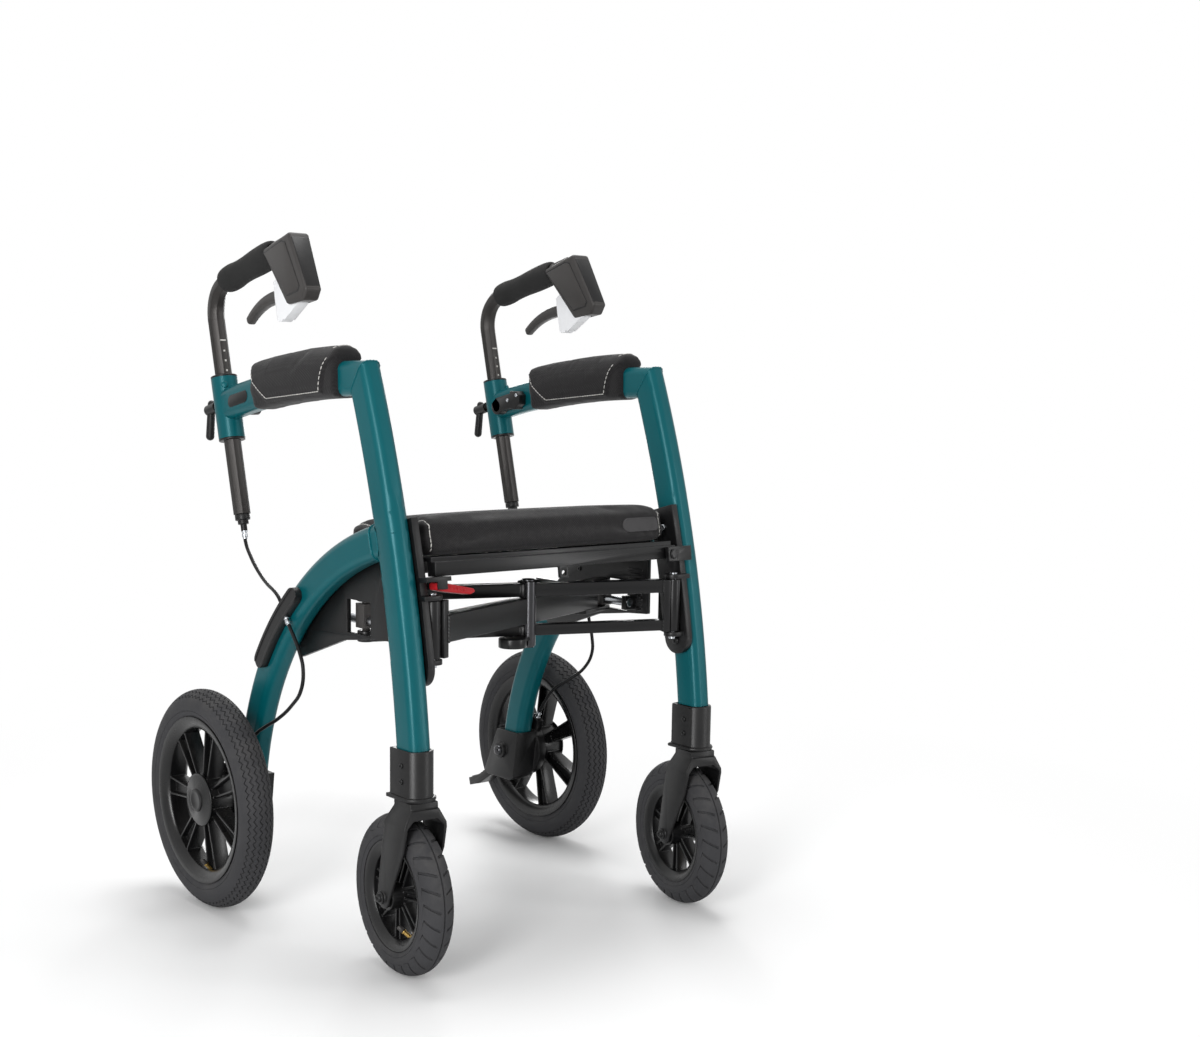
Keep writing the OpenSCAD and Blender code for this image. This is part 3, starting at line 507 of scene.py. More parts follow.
class RollatorSizes(bpy.types.PropertyGroup):
    """Sizes of the rollator's dressing that a user may change."""

    def length(label, hint, millimetres, least, most):
        return bpy.props.FloatProperty(name=label, description=hint, unit="LENGTH", subtype="DISTANCE",
                                       default=millimetres / 1000, min=least / 1000, max=most / 1000,
                                       precision=5)

    tread_depth: length("Tread depth", "Depth of the tyre grooves", 1.8, 0.5, 3.0)
    stitch_length: length("Stitch length", "Length of one stitch", 5.2, 2.0, 6.0)
    stitch_gap: length("Stitch gap", "Space between stitches", 0.3, 0.2, 4.0)
    thread_radius: length("Thread radius", "Half the thickness of the thread", 0.75, 0.3, 1.2)
    voxel: length("Cloth grid", "Spacing of the cloth before it is plumped", 5.0, 4.0, 6.0)
    cushion_swell: length("Cushion swell", "Furthest that the cushion's cloth may move", 5.0, 2.0, 12.0)
    pad_swell: length("Pad swell", "Furthest that an arm pad's cloth may move", 3.5, 1.0, 8.0)
    weld_radius: length("Weld radius", "Half the thickness of a weld bead", 1.7, 0.8, 3.0)


class ROLLATOR_OT_stage(bpy.types.Operator):
    """Set up the floor, the studio light and the camera"""

    bl_idname = "rollator.stage"
    bl_label = "Stage"

    FLOOR_RADIUS = 14.0
    FLOOR_COLOUR = (0.93, 0.93, 0.93, 1.0)
    # Metres from the origin over which the camera sees the floor turn plain white
    FLOOR_FADE = (0.55, 1.5)
    # Strength of the world as a light, and as the camera, mirrors and clear pieces show it
    WORLD = (0.45, 1.0)
    LAMP_TARGET = Vector((0, 0, 0.45))
    # Place, width, height and power of each lamp
    LAMPS = {
        "key_strip": ((-2.3, -1.5, 0.98), 0.7, 1.8, 52.0),
        "fill_strip": ((1.7, -2.5, 0.92), 0.5, 1.7, 16.0),
        "top_softbox": ((0.3, 0.4, 2.9), 1.6, 1.6, 42.0),
        "back_strip": ((1.7, 2.2, 0.98), 0.5, 1.8, 22.0),
    }
    # The camera's turn from straight back, its tilt down and its roll, in degrees
    VIEW = (40.64, 8.36, 0.97)
    EYE = (-1.3533, -1.8971, 0.75)
    LENS, SENSOR, SHIFT_UP = 49.25, 36.0, 0.0846

    def execute(self, context):
        context.scene.view_settings.view_transform = "Standard"
        self.floor()
        self.world(context)
        self.lamps()
        self.camera(context)
        return {"FINISHED"}

    def floor(self):
        bm = bmesh.new()
        bmesh.ops.create_circle(bm, cap_ends=True, segments=64, radius=self.FLOOR_RADIUS)
        floor = linked("floor", mesh_of("floor", bm))
        w = blank_finish("pale_floor")
        away = w.add("VectorMath", {0: w.place()}, operation="LENGTH").outputs["Value"]
        seen = w.add("LightPath").outputs["Is Camera Ray"]
        faded = w.math("MULTIPLY", w.span(away, *self.FLOOR_FADE), seen)
        matt = w.add("BsdfDiffuse", {"Color": self.FLOOR_COLOUR}).outputs[0]
        glow = w.add("Emission", {"Color": WHITE, "Strength": 1.0}).outputs[0]
        surface = w.add("MixShader", {0: faded, 1: matt, 2: glow}).outputs[0]
        w.add("OutputMaterial", {"Surface": surface})
        floor.data.materials.append(FINISH["pale_floor"])

    def world(self, context):
        world = context.scene.world or bpy.data.worlds.new("studio")
        context.scene.world = world
        world.use_nodes = True
        world.node_tree.nodes.clear()
        w = Wiring(world.node_tree)
        rays = w.add("LightPath").outputs
        shown = w.math("MAXIMUM", rays["Is Camera Ray"], rays["Is Transmission Ray"])
        shown = w.math("MAXIMUM", shown, rays["Is Glossy Ray"])
        sky = w.add("Background", {"Color": WHITE, "Strength": w.span(shown, 0.0, 1.0, *self.WORLD)})
        w.add("OutputWorld", {"Surface": sky.outputs[0]})

    def lamps(self):
        for name, (place, wide, tall, power) in self.LAMPS.items():
            lamp = bpy.data.lights.new(name, "AREA")
            lamp.shape = "RECTANGLE"
            lamp.size = wide
            lamp.size_y = tall
            lamp.energy = power
            obj = linked(name, lamp)
            obj.location = place
            obj.rotation_euler = (self.LAMP_TARGET - Vector(place)).to_track_quat("-Z", "Y").to_euler()

    def camera(self, context):
        yaw, pitch, roll = (math.radians(a) for a in self.VIEW)
        ahead = Vector((math.sin(yaw) * math.cos(pitch), math.cos(yaw) * math.cos(pitch), -math.sin(pitch)))
        right = Vector((math.cos(yaw), -math.sin(yaw), 0))
        up = right.cross(ahead)
        right, up = (math.cos(roll) * right + math.sin(roll) * up,
                     math.cos(roll) * up - math.sin(roll) * right)
        data = bpy.data.cameras.new("camera")
        data.sensor_fit = "HORIZONTAL"
        data.sensor_width = self.SENSOR
        data.lens = self.LENS
        data.shift_y = self.SHIFT_UP
        data.clip_end = 60.0
        camera = linked("camera", data)
        turn = Matrix((right, up, -ahead)).transposed().to_4x4()
        camera.matrix_world = Matrix.Translation(self.EYE) @ turn
        context.scene.camera = camera


class ROLLATOR_OT_finishes(bpy.types.Operator):
    """Mix the finishes and put them on the CAD nodes"""

    bl_idname = "rollator.finishes"
    bl_label = "Finishes"

    def execute(self, context):
        tints = context.scene.rollator_colours
        build_effects()
        hard_finish("teal_paint", tints.teal, 0.34, metallic=0.2, coat=0.1, shine=0.15, grain=1500.0,
                    bump=0.05, wear_and_sheen=0.35, paler=1.9, tone=0.07, patches=4.0)
        hard_finish("black_metal", tints.black, 0.33, metallic=0.2, coat=0.1, shine=0.3, grain=1300.0,
                    bump=0.08, wear_and_sheen=0.4, paler=3.0)
        hard_finish("grey_metal", tints.grey, 0.34, metallic=0.45, grain=1200.0, wear_and_sheen=0.4, paler=1.8)
        hard_finish("black_plastic", tints.black, 0.36, shine=0.3, bump=0.14, paler=2.6, dust=0.05)
        hard_finish("grey_plastic", tints.grey, 0.4, shine=0.3, bump=0.2, wear_and_sheen=0.25, paler=1.5)
        hard_finish("wheel_plastic", tints.wheel, 0.27, coat=0.06, shine=0.32, grain=400.0, bump=0.02,
                    paler=2.6, dust=0.04)
        hard_finish("tyre_rubber", tints.rubber, 0.74, grain=500.0, bump=0.3, wear_and_sheen=0.25, paler=1.5, tone=0.16,
                    patches=14.0, dust=0.16, edge=0.0006)
        hard_finish("foam_grip", tints.foam, 0.88, grain=1100.0, bump=0.8, wear_and_sheen=0.1, paler=1.3, tone=0.14,
                    patches=24.0, dust=0.08)
        hard_finish("cable_jacket", tints.black, 0.4, bump=0.05, wear_and_sheen=0.1)
        hard_finish("bright_steel", tints.steel, 0.26, metallic=1.0, paler=1.2)
        hard_finish("pale_plastic", tints.pale, 0.4, bump=0.08, wear_and_sheen=0.05, paler=1.0, tone=0.04)
        hard_finish("red_plastic", tints.red, 0.38, bump=0.08, wear_and_sheen=0.2, paler=1.5, tone=0.06)
        hard_finish("brass", tints.brass, 0.3, metallic=1.0, paler=1.2)
        hard_finish("light_thread", tints.thread, 0.8, grain=2500.0, bump=0.6, wear_and_sheen=0.0, tone=0.1,
                    patches=90.0)
        hard_finish("dark_label", tints.label, 0.6, grain=1600.0, bump=0.2, wear_and_sheen=0.2, paler=1.6, tone=0.1)
        hard_finish("polished_pin", tints.pin, 0.22, metallic=1.0, bump=0.03, wear_and_sheen=0.2, paler=1.6)
        cloth_finish("black_fabric", tints.fabric, 520.0)
        for node, obj in NODES.items():
            if obj.material_slots:
                obj.material_slots[0].material = FINISH[SLOT_OF[node]]
            else:
                obj.data.materials.append(FINISH[SLOT_OF[node]])
        return {"FINISHED"}


class ROLLATOR_OT_mouldings(bpy.types.Operator):
    """Round over the edges of the moulded and welded parts"""

    bl_idname = "rollator.mouldings"
    bl_label = "Mouldings"

    # Millimetres of rounding; a node with 0 keeps the edges that its CAD form has
    PAIRED = {"caster_housing": 2.2, "axle_bracket": 2.0, "hinge_bracket": 0.9, "side_panel": 0.9,
              "fork": 2.2, "rear_rim": 0.9, "front_rim": 0.9, "hub_cap": 1.2, "brake_housing": 0.0,
              "cable_cover": 2.4, "clamp_lever": 0.0, "backrest_clip": 0.8, "handle_post": 0.7,
              "post_plug": 0.8, "collar_bushes": 0.8, "carriage": 0.8, "leg": 0.0, "armrest": 0.0,
              "arch": 0.0}
    SINGLE = {"tipping_pedal": 2.0, "double_link": 1.0, "single_link": 1.0, "seat_frame": 1.0,
              "release_lever": 1.6}

    def execute(self, context):
        for side, _ in SIDES:
            for part, width in self.PAIRED.items():
                eased_piece(f"{side}_{part}", width)
        for part, width in self.SINGLE.items():
            eased_piece(part, width)
        return {"FINISHED"}


class ROLLATOR_OT_tyres(bpy.types.Operator):
    """Build the treaded tyres and their valves"""

    bl_idname = "rollator.tyres"
    bl_label = "Tyres"

    # Radii of the ring, its section and its bead, degrees across the section to each groove, steps round it
    SHAPES = {"rear": (131.6, 23.4, 112.0, (-50, -30, -10, 10, 30, 50), 176),
              "front": (82.0, 21.5, 66.0, (0,), 252)}
    # Radius and angle round the wheel at which each valve leaves its rim
    VALVES = {"rear": (103.0, 262.0), "front": (59.0, 236.0)}
    # Degrees across the section: between its points, half a groove, and out to the line on a sidewall
    STEP, GROOVE_HALF, SIDE_LINE = 5, 2.9, 104.0
    # Steps round the front tyre from one slanted groove to the next
    BLOCK = 9
    # Degrees across the front tyre to the edge of its middle band, and to where its slanted grooves end
    BAND_HALF, SHOULDER = 8, 76
    # Degrees across the rear tyre to which its grooves bend, and by which they swing
    ZIGZAG_REACH, ZIGZAG_SWING = 57, 5.0

    def execute(self, context):
        depth = context.scene.rollator_sizes.tread_depth
        for side, s in SIDES:
            for end, (ring_r, section_r, bead_r, grooves, steps) in self.SHAPES.items():
                wheel = f"{side}_{end}"
                hub = JOINT[f"{wheel}_wheel_spin"]
                bm = self.ring(ring_r, section_r, bead_r, grooves, depth, steps)
                if end == "rear":
                    self.zigzag(bm, ring_r, steps)
                else:
                    self.blocks(bm, ring_r, steps, depth)
                self.place(bm, hub)
                piece(f"{wheel}_tread", bm, "tyre_rubber", f"{wheel}_wheel", [f"{wheel}_tyre"])
                self.valve(wheel, hub, s, *self.VALVES[end])
        return {"FINISHED"}

    def ring(self, ring_r, section_r, bead_r, grooves, depth, steps):
        """Spins the tyre's section, with grooves across its tread and a fine line on each sidewall."""
        bead = math.degrees(math.acos((bead_r - ring_r) / section_r))
        half = self.GROOVE_HALF
        deep = section_r - depth * 1000
        radii = {bead: section_r, -bead: section_r}
        reach = int(bead / self.STEP)
        for angle in range(-reach * self.STEP, reach * self.STEP + 1, self.STEP):
            if all(abs(angle - g) > half + 1 for g in grooves):
                radii[float(angle)] = section_r
        for g in grooves:
            radii.update({g - half: section_r, g - half * 0.55: deep, g + half * 0.55: deep,
                          g + half: section_r})
        for line in (-self.SIDE_LINE, self.SIDE_LINE):
            radii.update({line - 2.0: section_r, line - 0.7: section_r - 0.7, line + 0.7: section_r - 0.7,
                          line + 2.0: section_r})
        bm = bmesh.new()
        loop = []
        for angle in sorted(radii):
            phi = math.radians(angle)
            loop.append(bm.verts.new((radii[angle] * math.sin(phi) / 1000, 0,
                                      (ring_r + radii[angle] * math.cos(phi)) / 1000)))
        edges = [bm.edges.new(pair) for pair in zip(loop, loop[1:] + loop[:1])]
        bmesh.ops.spin(bm, geom=loop + edges, cent=(0, 0, 0), axis=(1, 0, 0), dvec=(0, 0, 0), angle=math.tau,
                       steps=steps, use_merge=True, use_duplicate=False)
        bmesh.ops.remove_doubles(bm, verts=bm.verts, dist=1e-6)
        return bm

    def polar(self, vert, ring_r):
        """Angle round the wheel, angle across the section and section radius of a tyre point."""
        away = math.hypot(vert.co.y, vert.co.z) - ring_r / 1000
        return math.atan2(vert.co.y, vert.co.z), math.atan2(vert.co.x, away), math.hypot(vert.co.x, away)

    def settle(self, vert, ring_r, theta, phi, rho):
        """Puts a tyre point where those angles and that radius say."""
        away = ring_r / 1000 + rho * math.cos(phi)
        vert.co = (rho * math.sin(phi), away * math.sin(theta), away * math.cos(theta))

    def zigzag(self, bm, ring_r, steps):
        """Bends the groove rows into zigzags."""
        for vert in bm.verts:
            theta, phi, rho = self.polar(vert, ring_r)
            if abs(phi) < math.radians(self.ZIGZAG_REACH):
                step = round(theta / math.tau * steps)
                swing = math.radians(self.ZIGZAG_SWING if step % 2 else -self.ZIGZAG_SWING)
                self.settle(vert, ring_r, theta, phi + swing, rho)

    def blocks(self, bm, ring_r, steps, depth):
        """Cuts slanted grooves from the middle of the tread out over its shoulders."""
        step_angle = math.tau / steps
        for vert in bm.verts:
            theta, phi, rho = self.polar(vert, ring_r)
            across = math.degrees(abs(phi))
            if self.BAND_HALF < across < self.SHOULDER:
                step = round(theta / step_angle) % self.BLOCK
                pull = {2: -0.7, 8: 0.7}.get(step, 0.0) * step_angle
                slant = (across - self.BAND_HALF) / 60 * 4.5 * step_angle
                if step in (0, 1) and across > 14:
                    rho -= depth * 1.35
                self.settle(vert, ring_r, theta + pull + slant, phi, rho)

    def place(self, bm, joint):
        """Moves what was made round the X axis at the origin to a wheel's hub."""
        axis = Vector(joint["axis"])
        axis = axis if axis.x > 0 else -axis
        turn = Matrix.Rotation(math.atan2(axis.y, axis.x), 4, "Z")
        bmesh.ops.transform(bm, matrix=Matrix.Translation(joint["pos_m"]) @ turn, verts=bm.verts)

    def valve(self, wheel, joint, s, rim, clock):
        """A brass valve that leans outward from the rim's well, with its cap."""
        angle = math.radians(clock)
        out = Vector((0, math.cos(angle), math.sin(angle)))
        lean = (-out + Vector((s * 0.75, 0, 0))).normalized()
        foot = out * rim / 1000 + Vector((s * 0.006, 0, 0))
        stem, cap = bmesh.new(), bmesh.new()
        lathe(stem, [(-4, 0), (-4, 4.2), (0, 4.2), (1.5, 2.8), (13, 2.6), (13, 3.4), (15, 3.4), (15, 2.2),
                     (22, 2.2), (22, 0)], foot, lean, 14)
        lathe(cap, [(15.5, 0), (15.5, 3.1), (16.5, 3.4), (22.5, 3.2), (24, 2.2), (24, 0)], foot, lean, 14)
        for bm, name, finish, slot in ((stem, "valve", "brass", "bright_steel"),
                                       (cap, "valve_cap", "grey_plastic", "grey_plastic")):
            self.place(bm, joint)
            piece(f"{wheel}_{name}", bm, finish, f"{wheel}_wheel")


def plumped(context, name, bm, held, cap):
    """Remeshes a padded form, fills it with pressure as cloth and gives the object that results."""
    obj = linked(name, mesh_of(name, bm))
    remesh = obj.modifiers.new("even", "REMESH")
    remesh.mode = "VOXEL"
    remesh.voxel_size = context.scene.rollator_sizes.voxel
    obj.data = applied(obj)
    obj.modifiers.clear()
    start = [v.co.copy() for v in obj.data.vertices]
    group = obj.vertex_groups.new(name="held")
    group.add([k for k, co in enumerate(start) if held(co)], 1.0, "REPLACE")
    cloth = obj.modifiers.new("cloth", "CLOTH")
    cloth.settings.use_pressure = True
    cloth.settings.uniform_pressure_force = CLOTH_PRESSURE
    cloth.settings.vertex_group_mass = "held"
    cloth.settings.effector_weights.gravity = 0.0
    cloth.settings.quality = CLOTH_QUALITY
    for number in range(1, CLOTH_FRAMES + 1):
        context.scene.frame_set(number)
    shaped = obj.evaluated_get(context.evaluated_depsgraph_get()).data.vertices
    moved = [v.co.copy() for v in shaped]
    obj.modifiers.clear()
    context.scene.frame_set(1)
    for vert, a, b in zip(obj.data.vertices, start, moved):
        shift = b - a
        vert.co = a + shift * min(1.0, cap / max(shift.length, 1e-9))
    smooth = obj.modifiers.new("fine", "SUBSURF")
    smooth.levels = smooth.render_levels = 1
    obj.data = applied(obj)
    obj.modifiers.clear()
    for face in obj.data.polygons:
        face.use_smooth = True
    return obj


class ROLLATOR_OT_seat_cushion(bpy.types.Operator):
    """Sew the seat cushion"""

    bl_idname = "rollator.seat_cushion"
    bl_label = "Seat cushion"

    # How much smaller than its CAD solid the cushion starts, and the metres of its base that are held still
    START_SCALE = (0.985, 0.975, 0.93)
    HELD_HEIGHT = 0.006
    # Depth of a sewn channel in metres, and its spread and the height above which it shows in millimetres
    CHANNEL_DEPTH, CHANNEL_SPREAD, CHANNEL_FOOT = 0.0022, 3.2, 5
    # First and last point (y, z) of the stitches at each seam, and the way they are laid down
    ROWS = (((16, 90), (176, 90), -SEAT_UP), ((-20, 60), (-9, 71), SEAT_BACK - SEAT_UP),
            ((-30, 40), (-30, 6), SEAT_BACK))

    def execute(self, context):
        sizes = context.scene.rollator_sizes
        up = SEAT_UP
        foot = on_seat(0, 0, 0)
        bm = node_mesh("seat_cushion")
        bmesh.ops.recalc_face_normals(bm, faces=bm.faces)
        middle = on_seat(0, 101, 24)
        bmesh.ops.scale(bm, vec=self.START_SCALE, space=Matrix.Translation(-middle), verts=bm.verts)
        cushion = plumped(context, "seat_cushion_fabric", bm,
                          lambda co: (co - foot).dot(up) < self.HELD_HEIGHT, sizes.cushion_swell)
        self.channels(cushion)
        dress(cushion, "black_fabric", "seat", ["seat_cushion"])
        tree = surface_of(cushion)
        bm = bmesh.new()
        for x in (-SEAM_X, SEAM_X):
            for first, last, toward in self.ROWS:
                stitch_row(bm, tree, [on_seat(x, *first), on_seat(x, *last)], toward, sizes)
        stitching = piece("seat_stitching", bm, "light_thread", "seat")
        for obj in (cushion, stitching, self.label(tree)):
            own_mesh(obj)
        return {"FINISHED"}

    def channels(self, cushion):
        """Draws the sewn channels into the cushion, near its two ends."""
        turn = SEAT_FALL.inverted()
        foot = on_seat(0, 0, 0)
        outward = [vert.normal.copy() for vert in cushion.data.vertices]
        for vert, normal in zip(cushion.data.vertices, outward):
            local = turn @ (vert.co - foot) * 1000
            off = abs(abs(local.x) - SEAM_X)
            if local.z > self.CHANNEL_FOOT:
                vert.co -= normal * self.CHANNEL_DEPTH * math.exp(-(off / self.CHANNEL_SPREAD) ** 2)

    def label(self, tree):
        """A bare sewn tag with a raised rim on the cushion's front, by its right end."""
        straight, radius = 24.0, 10.0
        bm = bmesh.new()
        bmesh.ops.create_grid(bm, x_segments=30, y_segments=14, size=1.0)
        for vert in bm.verts:
            z = radius * math.sin(vert.co.y * math.pi / 2)
            x = vert.co.x * (straight + math.sqrt(max(0.0, radius ** 2 - z ** 2)))
            away = math.hypot(max(abs(x) - straight, 0.0), z)
            rise = 0.0004 if away > 9.6 else 0.0021 if away > 8.2 else 0.0016
            vert.co = drop_on(tree, on_seat(155 + x, -30, 25 + z), SEAT_BACK)[0] - SEAT_BACK * rise
        bmesh.ops.remove_doubles(bm, verts=bm.verts, dist=1e-6)
        thicken(bm, bm.faces[:], SEAT_BACK * 0.003)
        return piece("seat_label", bm, "dark_label", "seat")


class ROLLATOR_OT_arm_pads(bpy.types.Operator):
    """Wrap and sew the two arm pads"""

    bl_idname = "rollator.arm_pads"
    bl_label = "Arm pads"

    # The pad's section, as (across, rise above the armrest's centre line)
    SECTION = ((-13, -24), (13, -24), (20, -20), (22.2, -8), (22.2, 8), (21.5, 24), (17.5, 34), (9, 39),
               (0, 40.5), (-9, 39), (-17.5, 34), (-21.5, 24), (-22.2, 8), (-22.2, -8), (-20, -20))
    # The pad's front and back ends, and the rise below which its cloth is held still
    ENDS = (152.0, 366.0)
    HELD_RISE = -15.0
    # The stitched outline of the flap on each face of the pad, as (y, rise)
    FLAP = ((360, 25), (353, 12), (320, -14), (186, -15), (179, 5), (174, 17), (166, 27))

    def execute(self, context):
        sizes = context.scene.rollator_sizes
        pad = plumped(context, "arm_pad_pattern", self.form(), self.held, sizes.pad_swell)
        pattern = bmesh.new()
        pattern.from_mesh(pad.data)
        bpy.data.objects.remove(pad)
        self.raise_flap(pattern)
        for side, s in SIDES:
            bm = pattern.copy()
            bmesh.ops.scale(bm, vec=(s, 1, 1), verts=bm.verts)
            obj = piece(f"{side}_arm_pad_fabric", bm, "black_fabric", f"{side}_frame", [f"{side}_arm_pad"],
                        sharp=70.0)
            self.sew(obj, side, s, sizes)
        pattern.free()
        return {"FINISHED"}

    def form(self):
        """Spins the pad's crowned section along the armrest's curve."""
        first, last = (math.asin((y - ARM_CENTRE[0]) / ARM_RADIUS) for y in self.ENDS)
        bm = bmesh.new()
        loop = [bm.verts.new((x / 1000, 0, (ARM_RADIUS + rise) / 1000)) for x, rise in self.SECTION]
        face = bm.faces.new(loop)
        bmesh.ops.rotate(bm, cent=(0, 0, 0), matrix=Matrix.Rotation(-first, 3, "X"), verts=bm.verts)
        bmesh.ops.spin(bm, geom=[face] + face.edges[:] + face.verts[:], cent=(0, 0, 0), axis=(-1, 0, 0),
                       dvec=(0, 0, 0), angle=last - first, steps=20, use_merge=False, use_duplicate=False)
        bmesh.ops.recalc_face_normals(bm, faces=bm.faces)
        bmesh.ops.translate(bm, vec=at(FRAME_X, *ARM_CENTRE), verts=bm.verts)
        return bm

    def held(self, co):
        """Whether a point of the pad is low enough to be held still."""
        return co.z * 1000 < on_arm((co.y - STEM_Y) * 1000, self.HELD_RISE)

    def raise_flap(self, bm):
        """Lifts the upper layer of cloth, whose cut edge runs along both faces of the pad."""
        bm.normal_update()
        outward = [vert.normal.copy() for vert in bm.verts]
        for vert, normal in zip(bm.verts, outward):
            y, z = (vert.co.y - STEM_Y) * 1000, vert.co.z * 1000
            rise = math.hypot(y - ARM_CENTRE[0], z - ARM_CENTRE[1]) - ARM_RADIUS
            back = 324 + 34 * min(1.0, (rise + 18) / 30) + 0.5 * max(0.0, rise - 12)
            front = 180 - 0.3 * (rise + 19) - 0.045 * max(0.0, rise - 8) ** 2
            inside = max(0.0, min(1.0, min(back - y, y - front, rise + 19) / 3.0))
            vert.co += normal * 0.0022 * inside * inside * (3 - 2 * inside)

    def sew(self, obj, side, s, sizes):
        """Stitches the outline of the flap on each face, and its edge over the pad's front."""
        tree = surface_of(obj)
        bm = bmesh.new()
        for way in (-1, 1):
            path = [at(s * FRAME_X + way * 60, y, on_arm(y, rise)) for y, rise in self.FLAP]
            stitch_row(bm, tree, path, Vector((-way, 0, 0)), sizes)
        path = [at(s * FRAME_X + x, 158 + 0.03 * x * x, 830.0) for x in range(-15, 16, 5)]
        stitch_row(bm, tree, path, Vector((0, 0, -1)), sizes)
        piece(f"{side}_arm_pad_stitching", bm, "light_thread", f"{side}_frame")


class ROLLATOR_OT_handles(bpy.types.Operator):
    """Build the foam grips, the brake levers and the housings' panels"""

    bl_idname = "rollator.handles"
    bl_label = "Handles"

    # The grip's profile, as (along, radius)
    GRIP = ((0.0, 12.2), (0.6, 14.6), (2.5, 16.6), (6, 17.4), (12, 18.0), (20, 18.2), (28, 17.9), (36, 17.1),
            (44, 16.7), (54, 16.6), (66, 16.8), (80, 17.5), (94, 18.1), (108, 18.3), (120, 18.2), (129, 17.6),
            (134, 16.6), (136, 15.0), (136.4, 12.2), (0.0, 12.2))
    # Outlines by the post: the panel on each cheek of the housing (v, w) and its front plate (u, v, w)
    CHEEK = ((186, 166), (230, 169), (238, 165), (258, 104), (253, 98), (228, 99))
    FRONT = ((-13, 249, 170), (13, 249, 170), (13, 269, 99), (-7.5, 269, 99))
    # Height, half width and half height of each mark on the post
    MARKS = ((52, 1.3, 1.3), (66, 1.3, 1.3), (80, 1.3, 1.3), (95, 4.2, 1.0))
    # Rings along the lever's blade, and points round each
    BLADE_RINGS, BLADE_SIDES = 13, 16
    # The centre that the blade bends about, as (v, w) by the post, and the radius of the bend
    BLADE_CENTRE, BLADE_BEND = (145.0, -75.0), 188.5

    def execute(self, context):
        for side, s in SIDES:
            self.grip(side, s)
            self.lever(side, s)
            self.panel(side, s)
            self.marks(side, s)
        return {"FINISHED"}

    def grip(self, side, s):
        """A turned foam grip that swells at both ends."""
        bm = bmesh.new()
        lathe(bm, self.GRIP, on_post(s, 0, 45, 170), POST_AHEAD, 56)
        piece(f"{side}_grip_foam", bm, "foam_grip", f"{side}_handle", [f"{side}_grip"], sharp=75.0)

    def lever(self, side, s):
        """Cuts the brake lever's pale hub free of its arm and rounds it, then makes the arm."""
        node = f"{side}_brake_lever"
        bm = node_mesh(node)
        cut = bmesh.ops.bisect_plane(bm, geom=bm.verts[:] + bm.edges[:] + bm.faces[:], dist=1e-6,
                                     plane_co=on_post(s, 0, 183, 100), plane_no=POST_AHEAD, clear_inner=True)
        rim = [e for e in cut["geom_cut"] if isinstance(e, bmesh.types.BMEdge) and e.is_boundary]
        bmesh.ops.holes_fill(bm, edges=rim, sides=0)
        bmesh.ops.dissolve_limit(bm, angle_limit=FLAT, verts=bm.verts, edges=bm.edges)
        round_over(bm, corners(bm, 40.0), 0.003, 4)
        piece(f"{side}_lever_hub", bm, "pale_plastic", f"{side}_brake_lever", [node])
        self.arm(side, s)

    def arm(self, side, s):
        """The finger blade: a curved bar that thins towards its tip."""
        bm = bmesh.new()
        stations = []
        for k in range(self.BLADE_RINGS):
            share = k / (self.BLADE_RINGS - 1)
            angle = math.radians(75.0 + 30.0 * share)
            deep = 9.2 - 3.6 * share
            wide = 8.0 - 1.4 * share
            ring = []
            for c in range(self.BLADE_SIDES):
                turn = math.tau * c / self.BLADE_SIDES
                lift, off = (math.copysign(abs(f(turn)) ** 0.6, f(turn)) for f in (math.sin, math.cos))
                reach = self.BLADE_BEND - 9.0 * share ** 2 + deep * lift
                v = self.BLADE_CENTRE[0] + reach * math.cos(angle)
                w = self.BLADE_CENTRE[1] + reach * math.sin(angle)
                ring.append(bm.verts.new(on_post(s, 2.0 + wide * off, v, w)))
            stations.append([bm.edges.new(pair) for pair in zip(ring, ring[1:] + ring[:1])])
        for first, second in zip(stations, stations[1:]):
            bmesh.ops.bridge_loops(bm, edges=first + second)
        bmesh.ops.holes_fill(bm, edges=stations[0] + stations[-1], sides=0)
        round_over(bm, [e for e in stations[-1] if e.is_valid], 0.002, 3)
        piece(f"{side}_lever_arm", bm, "grey_plastic", f"{side}_brake_lever")

    def panel(self, side, s):
        """A thin raised panel on each cheek of the brake housing, ringed by a dark strip of painted shade for
        the groove round it, and its front plate.
        """
        tree = surface_of(NODES[f"{side}_brake_housing"])
        for cheek, name in ((1, "outer"), (-1, "inner")):
            toward = Vector((-s * cheek, 0, 0))
            spots = [drop_on(tree, on_post(s, cheek * 40, v, w), toward)[0] for v, w in self.CHEEK]
            middle = sum(spots, Vector()) / len(spots)
            wider = [p + (p - middle).normalized() * 0.0022 + toward * 0.0015 for p in spots]
            # The dark strip round each panel is painted shade: it stands where the groove's shadow falls
            groove_shade, bm = bmesh.new(), bmesh.new()
            prism(groove_shade, wider, -toward * 0.0018)
            prism(bm, [p + toward * 0.0012 for p in spots], -toward * 0.0021, 0.7)
            piece(f"{side}_housing_{name}_seam", groove_shade, "wheel_plastic", f"{side}_handle")
            piece(f"{side}_housing_{name}_panel", bm, "grey_plastic", f"{side}_handle")
        bm = bmesh.new()
        ahead = POST_LEAN @ Vector((0, -0.959, 0.282)) / 1000
        spots = [drop_on(tree, on_post(s, *spot) + ahead * 40, -ahead)[0] for spot in self.FRONT]
        prism(bm, [p - ahead * 0.8 for p in spots], ahead * 1.8, 0.8)
        piece(f"{side}_housing_front", bm, "black_plastic", f"{side}_handle")

    def marks(self, side, s):
        """Pale height marks on the post's front face, above the collar."""
        tree = surface_of(NODES[f"{side}_handle_post"])
        bm = bmesh.new()
        for w, wide, tall in self.MARKS:
            outline = [drop_on(tree, on_post(s, u, 40, w + dw), -POST_AHEAD)[0]
                       for u, dw in ((-wide, -tall), (wide, -tall), (wide, tall), (-wide, tall))]
            prism(bm, [p - POST_AHEAD * 0.0002 for p in outline], POST_AHEAD * 0.0005)
        piece(f"{side}_height_marks", bm, "light_thread", f"{side}_handle")


